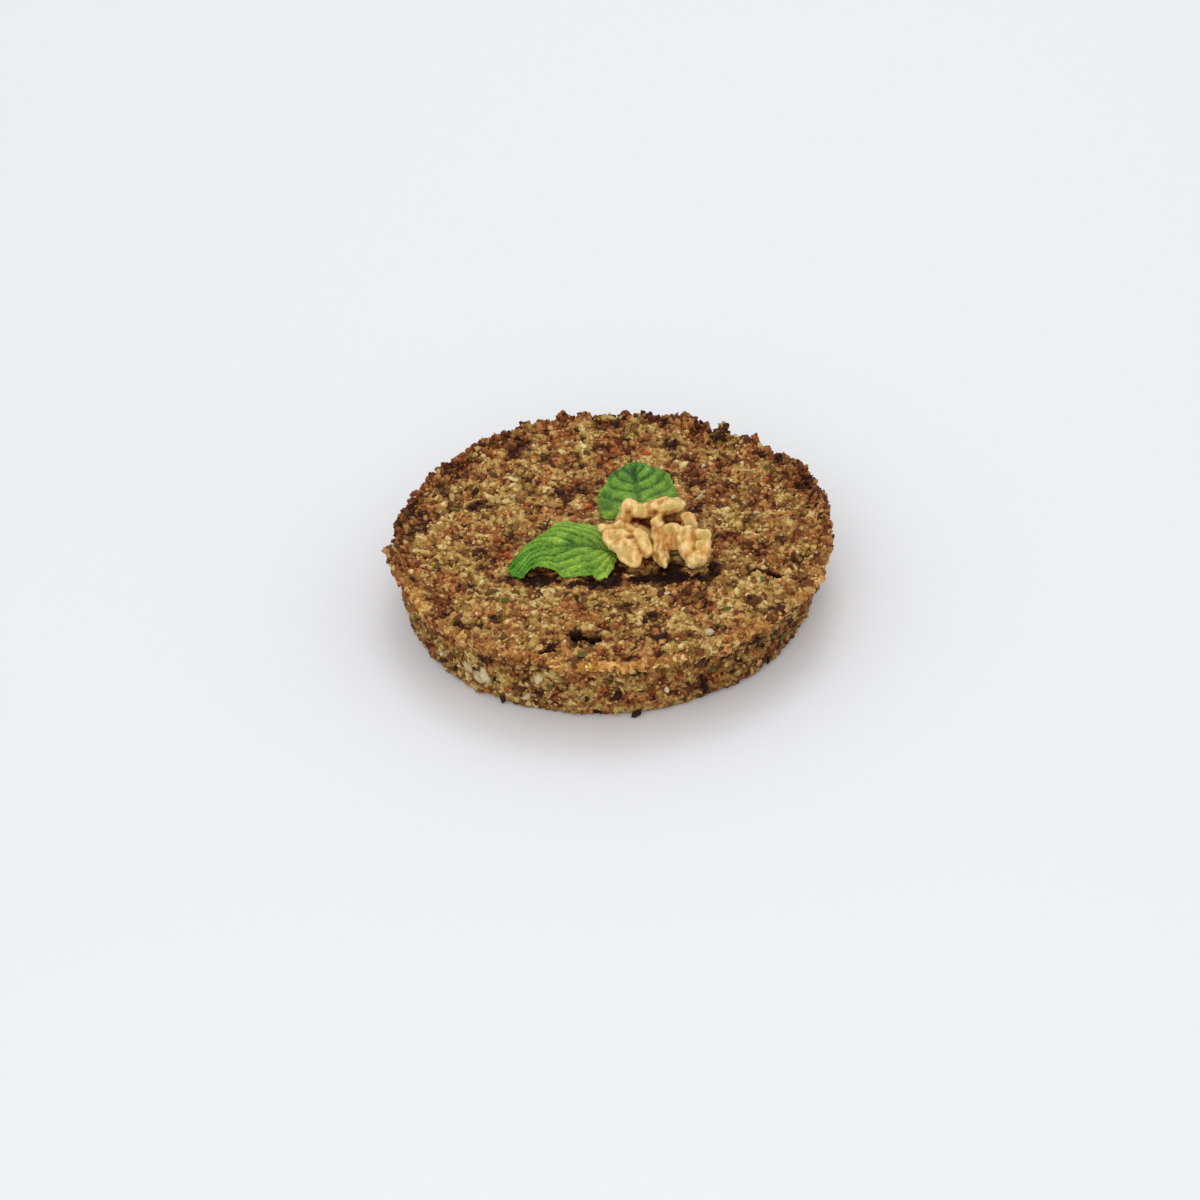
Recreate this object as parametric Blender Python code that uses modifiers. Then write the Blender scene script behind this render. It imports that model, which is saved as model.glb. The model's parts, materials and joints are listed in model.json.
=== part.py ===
"""A single round of baked kibbeh, turned out of its tin, with two mint leaves and a walnut half on top.

Metres, +Z up. The origin is the middle of the flat base, and -Y faces the viewer.
"""

import math

import bmesh
import bpy
from mathutils import Matrix, Vector, noise

MM = 0.001

# Cake: bulgur and meat baked in a shallow tin with sloping sides
RIM_RADIUS = 56.6 * MM
BASE_RADIUS = 52.6 * MM
HEIGHT = 17.5 * MM
BASE_SHIFT = -1.6 * MM  # the base lies a little to the left of the rim
TOP_CELLS = 50
TOP_STRETCH = 0.985  # share of the rim's radius that the level top reaches
LIP_START = 0.93  # share of the radius where the crisp edge starts to rise
LIP_RISE = 0.7 * MM
FOOT_ROUND = 0.5 * MM

# Wall rows from the rim down: share of the height, and how far they draw in under the lip
WALL_ROWS = ((0.92, 0.2 * MM), (0.79, 0.9 * MM), (0.60, 0.5 * MM), (0.40, 0.3 * MM), (0.20, 0.1 * MM))

# Crumb of the baked mixture
SWELL_SIZE = 17.0 * MM
SWELL_HEIGHT = 0.55 * MM
CLUMP_SIZE = 5.6 * MM
CLUMP_HEIGHT = 1.5 * MM
GRAIN_SIZE = 2.7 * MM
GRAIN_HEIGHT = 0.85 * MM
RIM_TOOTH_SIZE = 2.6 * MM
RIM_TOOTH_OUT = 1.1 * MM
RIM_TOOTH_UP = 1.3 * MM
BACK_TEETH = 0.5  # how much taller the teeth are at the back than at the sides

# Calm ground under the garnish
CALM_MIDDLE = (-1.0 * MM, 3.0 * MM)
CALM_REACH = (31.0 * MM, 33.0 * MM)
CALM_SHARE = 0.3

# Flakes, bites and fuller stretches of the rim: bearing from +X in degrees, half width in degrees, outwards, upwards
RIM_MARKS = (
    (182.8, 2.2, 3.0 * MM, 1.0 * MM),
    (179.4, 1.8, -1.8 * MM, -0.8 * MM),
    (58.6, 1.8, -4.2 * MM, -1.8 * MM),
    (55.4, 2.3, -0.2 * MM, 2.0 * MM),
    (68.0, 9.0, 0.6 * MM, 0.5 * MM),
    (24.0, 16.0, 0.8 * MM, 0.4 * MM),
    (334.0, 9.0, 1.3 * MM, 0.0 * MM),
    (101.5, 1.8, 0.4 * MM, 1.0 * MM),
    (190.0, 7.0, 1.0 * MM, 0.2 * MM),
)

# Cracks in the top: start, end, half width, depth
CRACKS = (
    ((-14.0 * MM, -42.6 * MM), (-4.8 * MM, -45.4 * MM), 1.9 * MM, 3.2 * MM),
    ((-19.6 * MM, -48.0 * MM), (-16.2 * MM, -47.0 * MM), 1.6 * MM, 1.8 * MM),
    ((36.5 * MM, -18.0 * MM), (42.5 * MM, -20.8 * MM), 1.7 * MM, 1.8 * MM),
)

# Mint leaves
LEAF_THICKNESS = 0.5 * MM
LEAF_ALONG = 28
LEAF_ACROSS = 8
LEAF_TEETH = 11.0
TOOTH_REACH = 0.45 * MM
LEAF_GAP = 0.75 * MM  # least height of a leaf's middle sheet over the cake
VEINS = 5.5  # side veins on each half
VEIN_WIDTH = 0.2  # share of the space from vein to vein
BULGE = 0.5 * MM  # between the veins
RIB_GROOVE = 0.6 * MM
RIB_WIDTH = 1.1 * MM
FULL_REACH = 7.0 * MM  # a half of the blade narrower than this is flatter
CURVE_STEPS = 14

# Walnut half, seen from its hollow side
NUT_MIDDLE = Vector((11.0 * MM, -6.5 * MM, HEIGHT))
NUT_STEPS = (12, 7)
NUT_FULLNESS = 0.78  # below 1 the lobes are blockier than eggs
NUT_LUMP_SIZE = 3.0 * MM
NUT_LUMP = 1.0 * MM

# Lobes: start, end, half width, half thickness in the nut's own place, and how much narrower the end is
NUT_LOBES = {
    "bowl": ((-8.0, 4.4, 2.6), (8.4, 4.2, 2.6), 7.6, 1.4, 0.0),
    "left_wing": ((-9.9, 3.7, 4.9), (-5.3, -11.3, 3.3), 5.2, 1.8, 0.45),
    "left_flare": ((-11.5, 2.3, 4.6), (-9.3, -5.3, 4.1), 2.8, 1.4, 0.0),
    "left_corner": ((-5.7, 3.7, 4.7), (-14.2, 3.4, 5.1), 2.4, 1.7, 0.7),
    "left_finger": ((-4.7, 2.1, 4.9), (-2.0, -8.3, 3.8), 2.2, 2.0, 0.2),
    "left_rim": ((-9.5, 4.3, 4.7), (-6.5, 9.9, 5.3), 1.9, 1.8, 0.0),
    "bridge": ((0.8, 9.7, 5.2), (0.9, 1.9, 4.5), 1.8, 1.9, 0.0),
    "stalk": ((0.5, 4.5, 4.4), (2.1, -12.0, 2.7), 2.6, 1.9, 0.55),
    "stalk_tip": ((0.1, -0.9, 3.2), (0.3, -8.3, 2.3), 1.7, 1.3, 0.3),
    "stalk_side": ((4.9, 4.1, 4.7), (4.7, -4.9, 3.5), 3.0, 1.7, 0.2),
    "right_inner": ((7.8, 0.1, 6.3), (8.5, -10.5, 4.1), 2.5, 2.2, 0.0),
    "right_outer": ((12.1, -1.3, 6.2), (11.7, -10.7, 4.3), 2.4, 2.2, 0.0),
    "right_blob": ((9.2, -9.0, 4.4), (11.2, -12.7, 3.6), 3.0, 2.1, 0.0),
    "right_bump": ((7.9, 7.1, 5.1), (9.9, 2.5, 4.9), 2.0, 1.9, 0.0),
    "back_right": ((-1.4, 9.5, 6.2), (8.2, 9.9, 6.5), 2.4, 2.2, -0.2),
    "back_right_foot": ((0.6, 10.3, 4.3), (8.1, 10.1, 4.6), 1.8, 1.9, 0.0),
    "back_left": ((-8.5, 11.2, 6.7), (0.8, 7.4, 5.5), 2.9, 1.9, 0.25),
    "back_left_foot": ((-7.3, 11.1, 4.7), (-0.5, 10.2, 4.4), 1.8, 1.9, 0.0),
}


def smooth_step(low, high, value):
    """0 below low, 1 above high, and a smooth rise between them."""
    share = min(1.0, max(0.0, (value - low) / (high - low)))
    return share * share * (3.0 - 2.0 * share)


def clumps(point, size):
    """About -0.5 in the cracks between clumps of this size and 0.5 on their tops."""
    nearest = noise.voronoi(point / size)[0][0]
    return 0.55 - nearest


def calm(x, y):
    """How much of the crumb's relief is left here: less under the garnish."""
    across = (x - CALM_MIDDLE[0]) / CALM_REACH[0]
    deep = (y - CALM_MIDDLE[1]) / CALM_REACH[1]
    return CALM_SHARE + (1.0 - CALM_SHARE) * smooth_step(0.75, 1.1, math.hypot(across, deep))


def crack_depth(x, y):
    """How far the cracks cut into the top at this place."""
    depth = 0.0
    for start, end, half_width, deepest in CRACKS:
        begin, run = Vector(start), Vector(end) - Vector(start)
        offset = Vector((x, y)) - begin
        along = min(1.0, max(0.0, offset.dot(run) / run.length_squared))
        away = (offset - run * along).length
        depth = max(depth, deepest * (1.0 - smooth_step(0.3 * half_width, half_width, away)))
    return depth


def crumb(point, share=1.0):
    """Relief of the baked mixture at a point, in metres along the surface's normal."""
    swell = SWELL_HEIGHT * noise.noise(point / SWELL_SIZE)
    clump = CLUMP_HEIGHT * clumps(point, CLUMP_SIZE)
    grain = GRAIN_HEIGHT * noise.noise(point / GRAIN_SIZE)
    return swell + share * (clump + grain)


def top_height(x, y):
    """Height of the cake's top over the base."""
    radius = math.hypot(x, y) / RIM_RADIUS
    lip = LIP_RISE * smooth_step(LIP_START, 1.0, radius)
    relief = crumb(Vector((x, y, HEIGHT)), calm(x, y))
    return HEIGHT + lip + relief - crack_depth(x, y)


def rim_offsets(bearing):
    """How far the ragged rim stands out and up at this bearing."""
    place = Vector((math.cos(bearing), math.sin(bearing), 0.0)) * RIM_RADIUS / RIM_TOOTH_SIZE
    lift = Vector((0.0, 0.0, 9.0))
    outwards = RIM_TOOTH_OUT * noise.noise(place)
    taller = 1.0 + BACK_TEETH * math.sin(bearing)
    upwards = RIM_TOOTH_UP * taller * max(-0.2, noise.noise(place + lift))
    for degrees, half_width, mark_out, mark_up in RIM_MARKS:
        turn = math.degrees(bearing) - degrees
        away = abs((turn + 180.0) % 360.0 - 180.0)
        share = 1.0 - smooth_step(0.15 * half_width, half_width, away)
        outwards += mark_out * share
        upwards += mark_up * share
    return outwards, upwards


def disc_place(a, b):
    """Radius share and bearing on the disc for a place on the square from -1 to 1, with even cells."""
    if abs(a) < 1e-9 and abs(b) < 1e-9:
        return 0.0, 0.0
    if abs(a) > abs(b):
        radius, bearing = a, math.pi / 4.0 * b / a
    else:
        radius, bearing = b, math.pi / 2.0 - math.pi / 4.0 * a / b
    if radius < 0.0:
        return -radius, bearing + math.pi
    return radius, bearing


def wall_point(bearing, height_share, draw_in):
    """A point of the side wall, with its crumb."""
    outwards, _ = rim_offsets(bearing)
    radius = BASE_RADIUS + (RIM_RADIUS - BASE_RADIUS) * height_share - draw_in
    radius += outwards * 0.6 * smooth_step(0.7, 0.95, height_share)
    z = HEIGHT * height_share
    place = Vector((radius * math.cos(bearing), radius * math.sin(bearing), z))
    radius += crumb(place) * (0.4 if height_share == 0.0 else 0.8)
    shift = BASE_SHIFT * (1.0 - height_share)
    return Vector((radius * math.cos(bearing) + shift, radius * math.sin(bearing), z))


def place_top(vertex, bearing_layer):
    """Bends one vertex of the square grid to the round top, its rim included."""
    share, bearing = disc_place(vertex.co.x, vertex.co.y)
    vertex[bearing_layer] = bearing
    outwards, upwards = rim_offsets(bearing)
    at_rim = smooth_step(0.955, 1.0, share)
    radius = share * RIM_RADIUS * (TOP_STRETCH + (1.0 - TOP_STRETCH) * at_rim)
    radius += outwards * at_rim
    x, y = radius * math.cos(bearing), radius * math.sin(bearing)
    vertex.co = (x, y, top_height(x, y) + upwards * at_rim)


def make_cake():
    """The round: a ragged top, a wall that draws in towards the foot, and a flat base."""
    mesh = bmesh.new()
    bearing_layer = mesh.verts.layers.float.new("bearing")
    bmesh.ops.create_grid(mesh, x_segments=TOP_CELLS, y_segments=TOP_CELLS, size=1.0)
    for vertex in mesh.verts:
        place_top(vertex, bearing_layer)
    foot_rows = ((FOOT_ROUND / HEIGHT, 0.0), (0.0, FOOT_ROUND))
    for height_share, draw_in in WALL_ROWS + foot_rows:
        ring = [edge for edge in mesh.edges if edge.is_boundary]
        bmesh.ops.extrude_edge_only(mesh, edges=ring)
        lower = {v for edge in mesh.edges if edge.is_boundary for v in edge.verts}
        for vertex in lower:
            vertex.co = wall_point(vertex[bearing_layer], height_share, draw_in)
    ring = [edge for edge in mesh.edges if edge.is_boundary]
    bmesh.ops.contextual_create(mesh, geom=ring)
    bmesh.ops.recalc_face_normals(mesh, faces=mesh.faces)
    return as_object("kibbeh_cake", mesh, material("kibbeh", (0.27, 0.14, 0.055), 0.7))


def curve_places(points):
    """Closely spaced places on a smooth curve through the points, and how far along it each one lies."""
    knots = [Vector(point) * MM for point in points]
    knots = [knots[0] * 2.0 - knots[1]] + knots + [knots[-1] * 2.0 - knots[-2]]
    places = [knots[1]]
    for a, b, c, d in zip(knots, knots[1:], knots[2:], knots[3:]):
        for step in range(1, CURVE_STEPS + 1):
            s = step / CURVE_STEPS
            square = (a * 2.0 - b * 5.0 + c * 4.0 - d) * s**2
            cube = (b * 3.0 - a - c * 3.0 + d) * s**3
            places.append((b * 2.0 + (c - a) * s + square + cube) * 0.5)
    lengths = [0.0]
    for a, b in zip(places, places[1:]):
        lengths.append(lengths[-1] + (b - a).length)
    return places, lengths


def curve_point(curve, share):
    """The place at this share of the curve's length."""
    places, lengths = curve
    wanted = share * lengths[-1]
    high = 1
    while high < len(lengths) - 1 and lengths[high] < wanted:
        high += 1
    part = (wanted - lengths[high - 1]) / (lengths[high] - lengths[high - 1])
    return places[high - 1].lerp(places[high], part)


def vein_share(slant, t, edge):
    """How deep a place lies in the groove of a side vein, 0 to 1."""
    away = abs((VEINS * (t - slant * edge) + 0.5) % 1.0 - 0.5)
    groove = math.exp(-((away / (VEIN_WIDTH * (1.0 + 0.5 * edge))) ** 2))
    return groove * smooth_step(1.02, 0.8, edge) * smooth_step(0.0, 0.05, t)


def leaf_point(leaf, far, rib, near, t, across):
    """A point of the leaf's middle sheet: t runs from base to tip, across from the near edge to the far one."""
    middle = curve_point(rib, t)
    reach = curve_point(near if across < 0.0 else far, t) - middle
    edge = abs(across)
    room = min(1.0, reach.length / FULL_REACH)
    tooth = TOOTH_REACH * (((t * LEAF_TEETH) % 1.0) - 0.5) * smooth_step(0.6, 1.0, edge)
    point = middle + reach * edge + reach.normalized() * tooth
    rib_cut = RIB_GROOVE * room * math.exp(-((reach.length * edge / RIB_WIDTH) ** 2))
    puff = BULGE * room * (0.5 - vein_share(leaf["slant"], t, edge)) * (4.0 * edge * (1.0 - edge)) ** 0.5
    point.z += HEIGHT + leaf["arch"] * MM * math.sin(math.pi * edge) * room + puff - rib_cut
    point.z = max(point.z, top_height(point.x, point.y) + LEAF_GAP)
    return point


def make_leaf(name, leaf):
    """A thin wavy blade with blunt teeth, both of its faces split alike."""
    far, rib, near = [curve_places(leaf[line]) for line in ("far_edge", "midrib", "near_edge")]
    mesh = bmesh.new()
    bmesh.ops.create_grid(mesh, x_segments=LEAF_ALONG, y_segments=LEAF_ACROSS, size=1.0)
    for vertex in mesh.verts:
        vertex.co = leaf_point(leaf, far, rib, near, (vertex.co.x + 1.0) / 2.0, vertex.co.y)
    bmesh.ops.triangulate(mesh, faces=mesh.faces)
    mesh.normal_update()
    if sum(face.normal.z for face in mesh.faces) < 0.0:
        bmesh.ops.reverse_faces(mesh, faces=mesh.faces)
    blade = as_object(name, mesh, material(name, leaf["colour"], 0.45))
    thick = blade.modifiers.new("thickness", "SOLIDIFY")
    thick.thickness = LEAF_THICKNESS
    thick.offset = 0.0
    return blade


def make_lobe(name, lobe):
    """One lumpy lobe of the walnut, drawn out from its start to its end."""
    start, end, width, thickness, taper = lobe
    begin, run = Vector(start) * MM, (Vector(end) - Vector(start)) * MM
    along = run.normalized()
    side = Vector((0.0, 0.0, 1.0)).cross(along).normalized()
    turn = Matrix((along, side, along.cross(side))).transposed().to_4x4()
    sizes = Matrix.Diagonal((run.length / 2.0, width * MM, thickness * MM, 1.0))
    middle = begin + run / 2.0
    mesh = bmesh.new()
    bmesh.ops.create_uvsphere(mesh, u_segments=NUT_STEPS[0], v_segments=NUT_STEPS[1], radius=1.0)
    for vertex in mesh.verts:
        narrow = 1.0 - taper * (vertex.co.x + 1.0) / 2.0
        full = Vector([math.copysign(abs(c) ** NUT_FULLNESS, c) for c in vertex.co])
        full.y *= narrow
        full.z *= 0.5 + 0.5 * narrow
        vertex.co = Matrix.Translation(middle) @ turn @ sizes @ full
    mesh.normal_update()
    for vertex in mesh.verts:
        vertex.co += vertex.normal * NUT_LUMP * noise.noise(vertex.co / NUT_LUMP_SIZE)
        vertex.co += NUT_MIDDLE
    return as_object(name, mesh)


def keep_largest_shell(data):
    """Drops the small shells that joining leaves inside, so that a sealed hollow is filled."""
    mesh = bmesh.new()
    mesh.from_mesh(data)
    left = set(mesh.verts)
    shells = []
    while left:
        shell, edge = set(), {left.pop()}
        while edge:
            shell |= edge
            edge = {e.other_vert(v) for v in edge for e in v.link_edges} - shell
        left -= shell
        shells.append(shell)
    outer = max(shells, key=len)
    bmesh.ops.delete(mesh, geom=[v for v in mesh.verts if v not in outer], context="VERTS")
    mesh.to_mesh(data)
    mesh.free()


def make_walnut():
    """The walnut half: its lobes joined into one solid."""
    lobes = bpy.data.collections.new("walnut_lobes")
    bpy.context.scene.collection.children.link(lobes)
    bowl = make_lobe("walnut_half", NUT_LOBES["bowl"])
    for name, lobe in NUT_LOBES.items():
        if name == "bowl":
            continue
        piece = make_lobe(name, lobe)
        bpy.context.scene.collection.objects.unlink(piece)
        lobes.objects.link(piece)
    join = bowl.modifiers.new("join", "BOOLEAN")
    join.operation = "UNION"
    join.operand_type = "COLLECTION"
    join.collection = lobes
    graph = bpy.context.evaluated_depsgraph_get()
    bowl.data = bpy.data.meshes.new_from_object(bowl.evaluated_get(graph))
    bowl.modifiers.clear()
    keep_largest_shell(bowl.data)
    for piece in list(lobes.objects):
        bpy.data.objects.remove(piece)
    bpy.data.collections.remove(lobes)
    bowl.data.materials.clear()
    bowl.data.materials.append(material("walnut", (0.55, 0.36, 0.14), 0.5))
    return bowl


def material(name, colour, roughness):
    """A plain coat of this colour."""
    made = bpy.data.materials.new(name)
    made.use_nodes = True
    shader = made.node_tree.nodes["Principled BSDF"]
    shader.inputs["Base Color"].default_value = (*colour, 1.0)
    shader.inputs["Roughness"].default_value = roughness
    shader.inputs["Metallic"].default_value = 0.0
    return made


def as_object(name, mesh, coat=None):
    """Puts the mesh in the scene under this name."""
    data = bpy.data.meshes.new(name)
    mesh.to_mesh(data)
    mesh.free()
    made = bpy.data.objects.new(name, data)
    bpy.context.scene.collection.objects.link(made)
    if coat:
        data.materials.append(coat)
    return made


# Edges and midribs run from base to tip, in millimetres, with z over the cake's level top
LEAVES = {
    "mint_leaf_left": {
        "far_edge": (
            (1.4, -6.3, 1.0),
            (-0.6, 0.2, 1.2),
            (-3.0, 2.1, 2.0),
            (-7.7, 2.9, 2.8),
            (-11.4, 4.1, 2.8),
            (-14.4, 4.2, 2.5),
            (-16.3, 1.6, 2.4),
            (-19.5, -2.1, 2.4),
            (-22.6, -4.9, 2.0),
            (-24.9, -9.0, 1.6),
            (-26.1, -12.0, 1.2),
        ),
        "midrib": (
            (1.6, -7.6, 1.1),
            (-1.4, -7.9, 1.3),
            (-4.0, -8.1, 2.4),
            (-7.0, -8.2, 3.7),
            (-12.5, -8.3, 4.2),
            (-18.8, -7.8, 3.8),
            (-21.7, -8.9, 3.2),
            (-23.9, -11.0, 2.3),
            (-27.0, -14.1, 1.0),
        ),
        "near_edge": (
            (1.4, -9.0, 1.0),
            (0.4, -13.2, 1.0),
            (-0.3, -15.9, 1.0),
            (-1.8, -18.5, 0.9),
            (-3.9, -19.8, 0.9),
            (-5.7, -18.4, 1.5),
            (-8.4, -18.0, 1.0),
            (-11.0, -17.8, 1.0),
            (-13.2, -17.8, 0.9),
            (-14.9, -16.2, 1.9),
            (-17.4, -15.8, 3.0),
            (-20.0, -15.1, 2.7),
            (-22.1, -15.7, 1.5),
            (-23.6, -17.4, 0.8),
            (-24.9, -16.6, 0.8),
            (-26.1, -15.9, 0.9),
        ),
        "slant": 0.30,
        "arch": 0.9,
        "colour": (0.12, 0.30, 0.035),
    },
    "mint_leaf_back": {
        "far_edge": (
            (6.0, 6.2, 1.0),
            (1.7, 6.8, 0.9),
            (-1.4, 7.0, 0.8),
            (-2.8, 9.9, 0.9),
            (-3.2, 13.0, 1.0),
            (-3.2, 15.7, 1.1),
            (-2.9, 18.8, 1.2),
            (-1.9, 20.7, 1.4),
            (-0.7, 23.0, 1.5),
            (0.3, 26.4, 1.6),
            (2.3, 28.0, 1.8),
            (4.6, 29.8, 2.0),
        ),
        "midrib": (
            (7.2, 5.9, 1.1),
            (7.5, 8.0, 2.2),
            (7.7, 10.2, 3.6),
            (7.0, 15.6, 3.8),
            (6.8, 19.7, 3.4),
            (6.6, 23.4, 2.9),
            (6.5, 26.8, 2.4),
            (6.6, 31.3, 2.0),
        ),
        "near_edge": (
            (8.6, 6.2, 1.0),
            (13.0, 9.4, 1.2),
            (16.6, 13.5, 1.2),
            (17.6, 16.6, 1.3),
            (16.9, 19.2, 1.6),
            (16.4, 22.1, 2.0),
            (15.9, 24.2, 2.2),
            (13.7, 26.4, 2.2),
            (11.6, 28.2, 2.0),
            (8.8, 29.9, 2.0),
        ),
        "slant": 0.26,
        "arch": 0.7,
        "colour": (0.10, 0.27, 0.04),
    },
}


def main():
    for old in list(bpy.data.objects):
        bpy.data.objects.remove(old)
    whole = bpy.data.collections.new("baked_kibbeh")
    bpy.context.scene.collection.children.link(whole)
    pieces = [make_cake(), make_walnut()]
    pieces += [make_leaf(name, leaf) for name, leaf in LEAVES.items()]
    for piece in pieces:
        bpy.context.scene.collection.objects.unlink(piece)
        whole.objects.link(piece)


main()
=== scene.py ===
import json
import math
import random

import bmesh
import bpy
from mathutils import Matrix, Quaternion, Vector, noise

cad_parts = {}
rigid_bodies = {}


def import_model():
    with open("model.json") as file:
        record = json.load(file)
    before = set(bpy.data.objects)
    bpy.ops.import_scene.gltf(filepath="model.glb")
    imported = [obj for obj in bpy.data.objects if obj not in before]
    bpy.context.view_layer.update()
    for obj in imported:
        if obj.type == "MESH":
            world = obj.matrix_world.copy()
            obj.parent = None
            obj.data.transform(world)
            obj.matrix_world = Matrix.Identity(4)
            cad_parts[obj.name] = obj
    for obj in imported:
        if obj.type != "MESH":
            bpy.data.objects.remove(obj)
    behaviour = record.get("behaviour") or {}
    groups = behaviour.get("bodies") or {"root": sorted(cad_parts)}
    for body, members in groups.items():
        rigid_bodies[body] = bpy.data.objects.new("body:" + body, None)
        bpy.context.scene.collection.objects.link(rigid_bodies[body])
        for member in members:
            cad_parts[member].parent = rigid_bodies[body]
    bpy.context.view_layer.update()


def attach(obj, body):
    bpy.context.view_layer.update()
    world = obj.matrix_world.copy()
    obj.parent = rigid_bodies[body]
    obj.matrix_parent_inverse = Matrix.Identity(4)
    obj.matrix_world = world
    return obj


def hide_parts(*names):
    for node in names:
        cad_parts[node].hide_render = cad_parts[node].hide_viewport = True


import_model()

mm = 0.001
xAxis = Vector((1.0, 0.0, 0.0))
zAxis = Vector((0.0, 0.0, 1.0))


def smoothStep(low, high, value):
    share = min(1.0, max(0.0, (value - low) / (high - low)))
    return share * share * (3.0 - 2.0 * share)


def asObject(name, mesh, coat=None):
    data = mesh
    if isinstance(mesh, bmesh.types.BMesh):
        data = bpy.data.meshes.new(name)
        mesh.to_mesh(data)
        mesh.free()
    made = bpy.data.objects.new(name, data)
    bpy.context.scene.collection.objects.link(made)
    if coat:
        data.materials.clear()
        data.materials.append(coat)
    return made


def shadeSmooth(piece):
    piece.data.polygons.foreach_set("use_smooth", [True] * len(piece.data.polygons))


# takes the modifiers' result as the piece's plain mesh
def applyModifiers(piece):
    graph = bpy.context.evaluated_depsgraph_get()
    made = bpy.data.meshes.new_from_object(piece.evaluated_get(graph))
    made.name = piece.name
    piece.modifiers.clear()
    piece.data = made


def storeFloats(piece, label, values):
    layer = piece.data.attributes.new(label, "FLOAT", "POINT")
    layer.data.foreach_set("value", values)


def finishPiece(piece, nodes=()):
    # nothing dips below what the kibbeh rests on
    for corner in piece.data.vertices:
        if corner.co.z < 0.0:
            corner.co.z = 0.0
    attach(piece, "root")
    if nodes:
        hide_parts(*nodes)


def addNode(tree, kind, inputs=None, **settings):
    made = tree.nodes.new(kind)
    for label, value in settings.items():
        setattr(made, label, value)
    for label, value in (inputs or {}).items():
        if isinstance(value, bpy.types.NodeSocket):
            tree.links.new(value, made.inputs[label])
        else:
            made.inputs[label].default_value = value
    return made


def addRamp(tree, factor, stops):
    ramp = addNode(tree, "ShaderNodeValToRGB", {"Fac": factor})
    while len(ramp.color_ramp.elements) > 1:
        ramp.color_ramp.elements.remove(ramp.color_ramp.elements[0])
    for number, (place, colour) in enumerate(stops):
        stop = ramp.color_ramp.elements[0] if number == 0 else ramp.color_ramp.elements.new(place)
        stop.position = place
        stop.color = (*linear(colour), 1.0)
    return ramp.outputs["Color"]


def addMix(tree, factor, first, second, blend="MIX"):
    mix = tree.nodes.new("ShaderNodeMix")
    mix.data_type = "RGBA"
    mix.blend_type = blend
    for place, value in ((0, factor), (6, first), (7, second)):
        if isinstance(value, bpy.types.NodeSocket):
            tree.links.new(value, mix.inputs[place])
        else:
            mix.inputs[place].default_value = value if place == 0 else (*linear(value), 1.0)
    return mix.outputs[2]


def addMath(tree, kind, *values, clamp=False):
    made = tree.nodes.new("ShaderNodeMath")
    made.operation = kind
    made.use_clamp = clamp
    for place, value in enumerate(values):
        if isinstance(value, bpy.types.NodeSocket):
            tree.links.new(value, made.inputs[place])
        else:
            made.inputs[place].default_value = value
    return made.outputs[0]


def addRange(tree, value, low, high, to=(0.0, 1.0)):
    limits = {"Value": value, "From Min": low, "From Max": high, "To Min": to[0], "To Max": to[1]}
    made = addNode(tree, "ShaderNodeMapRange", limits, interpolation_type="SMOOTHSTEP")
    return made.outputs["Result"]


# a colour as 0-255 sRGB numbers, turned to the linear values that shaders take
def linear(colour):
    shares = [c / 255.0 for c in colour]
    return tuple(c / 12.92 if c <= 0.04045 else ((c + 0.055) / 1.055) ** 2.4 for c in shares)


def newMaterial(name, roughness, shine=0.5):
    made = bpy.data.materials.new(name)
    made.use_nodes = True
    shader = made.node_tree.nodes["Principled BSDF"]
    shader.inputs["Roughness"].default_value = roughness
    shader.inputs["Specular IOR Level"].default_value = shine
    return made, made.node_tree, shader


def coordinates(tree):
    return tree.nodes.new("ShaderNodeTexCoord").outputs["Object"]


def addNoise(tree, place, scale, detail, **inputs):
    inputs = {"Vector": place, "Scale": scale, "Detail": detail, **inputs}
    return addNode(tree, "ShaderNodeTexNoise", inputs).outputs["Fac"]


def addBump(tree, shader, height, strength, distance):
    bump = addNode(tree, "ShaderNodeBump", {"Height": height, "Strength": strength, "Distance": distance})
    tree.links.new(bump.outputs["Normal"], shader.inputs["Normal"])


def addProduct(tree, value, factor):
    return addMath(tree, "MULTIPLY", value, factor)


# how far a value lies over a level, times a factor
def addLean(tree, value, level, factor):
    return addProduct(tree, addMath(tree, "SUBTRACT", value, level), factor)


def attribute(tree, label):
    return addNode(tree, "ShaderNodeAttribute", attribute_name=label).outputs["Fac"]


# camera, light and floor
view = {
    "rimCentre": Vector((0.0, 0.0, 17.5 * mm)),
    "elevation": 35.2,  # degrees over the horizon
    "distance": 1.0,
    "pixelsPerMetre": 3868.0,  # at the rim's middle
    "imageWidth": 1200.0,
    "rimPixel": (612.0, 537.1),
    "roll": 3.2,  # degrees, the right-hand side up
    "sensorWidth": 36.0,  # mm
    "clip": (0.05, 20.0),
    "worldStrength": 0.88,
    "keyPlace": (0.12, 0.62, 1.0),
    "keySize": 0.55,
    "keyPower": 1.9,
    "fillPlace": (-0.15, -1.0, 0.65),
    "fillSize": 0.9,
    "fillPower": 3.4,
    "lampAim": (0.0, 0.0, 0.01),
    "floorColour": (228, 229, 232),
    "floorRoughness": 0.6,
    "floorReach": 3.0,
    "floorDrop": 0.2 * mm,
}


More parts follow.
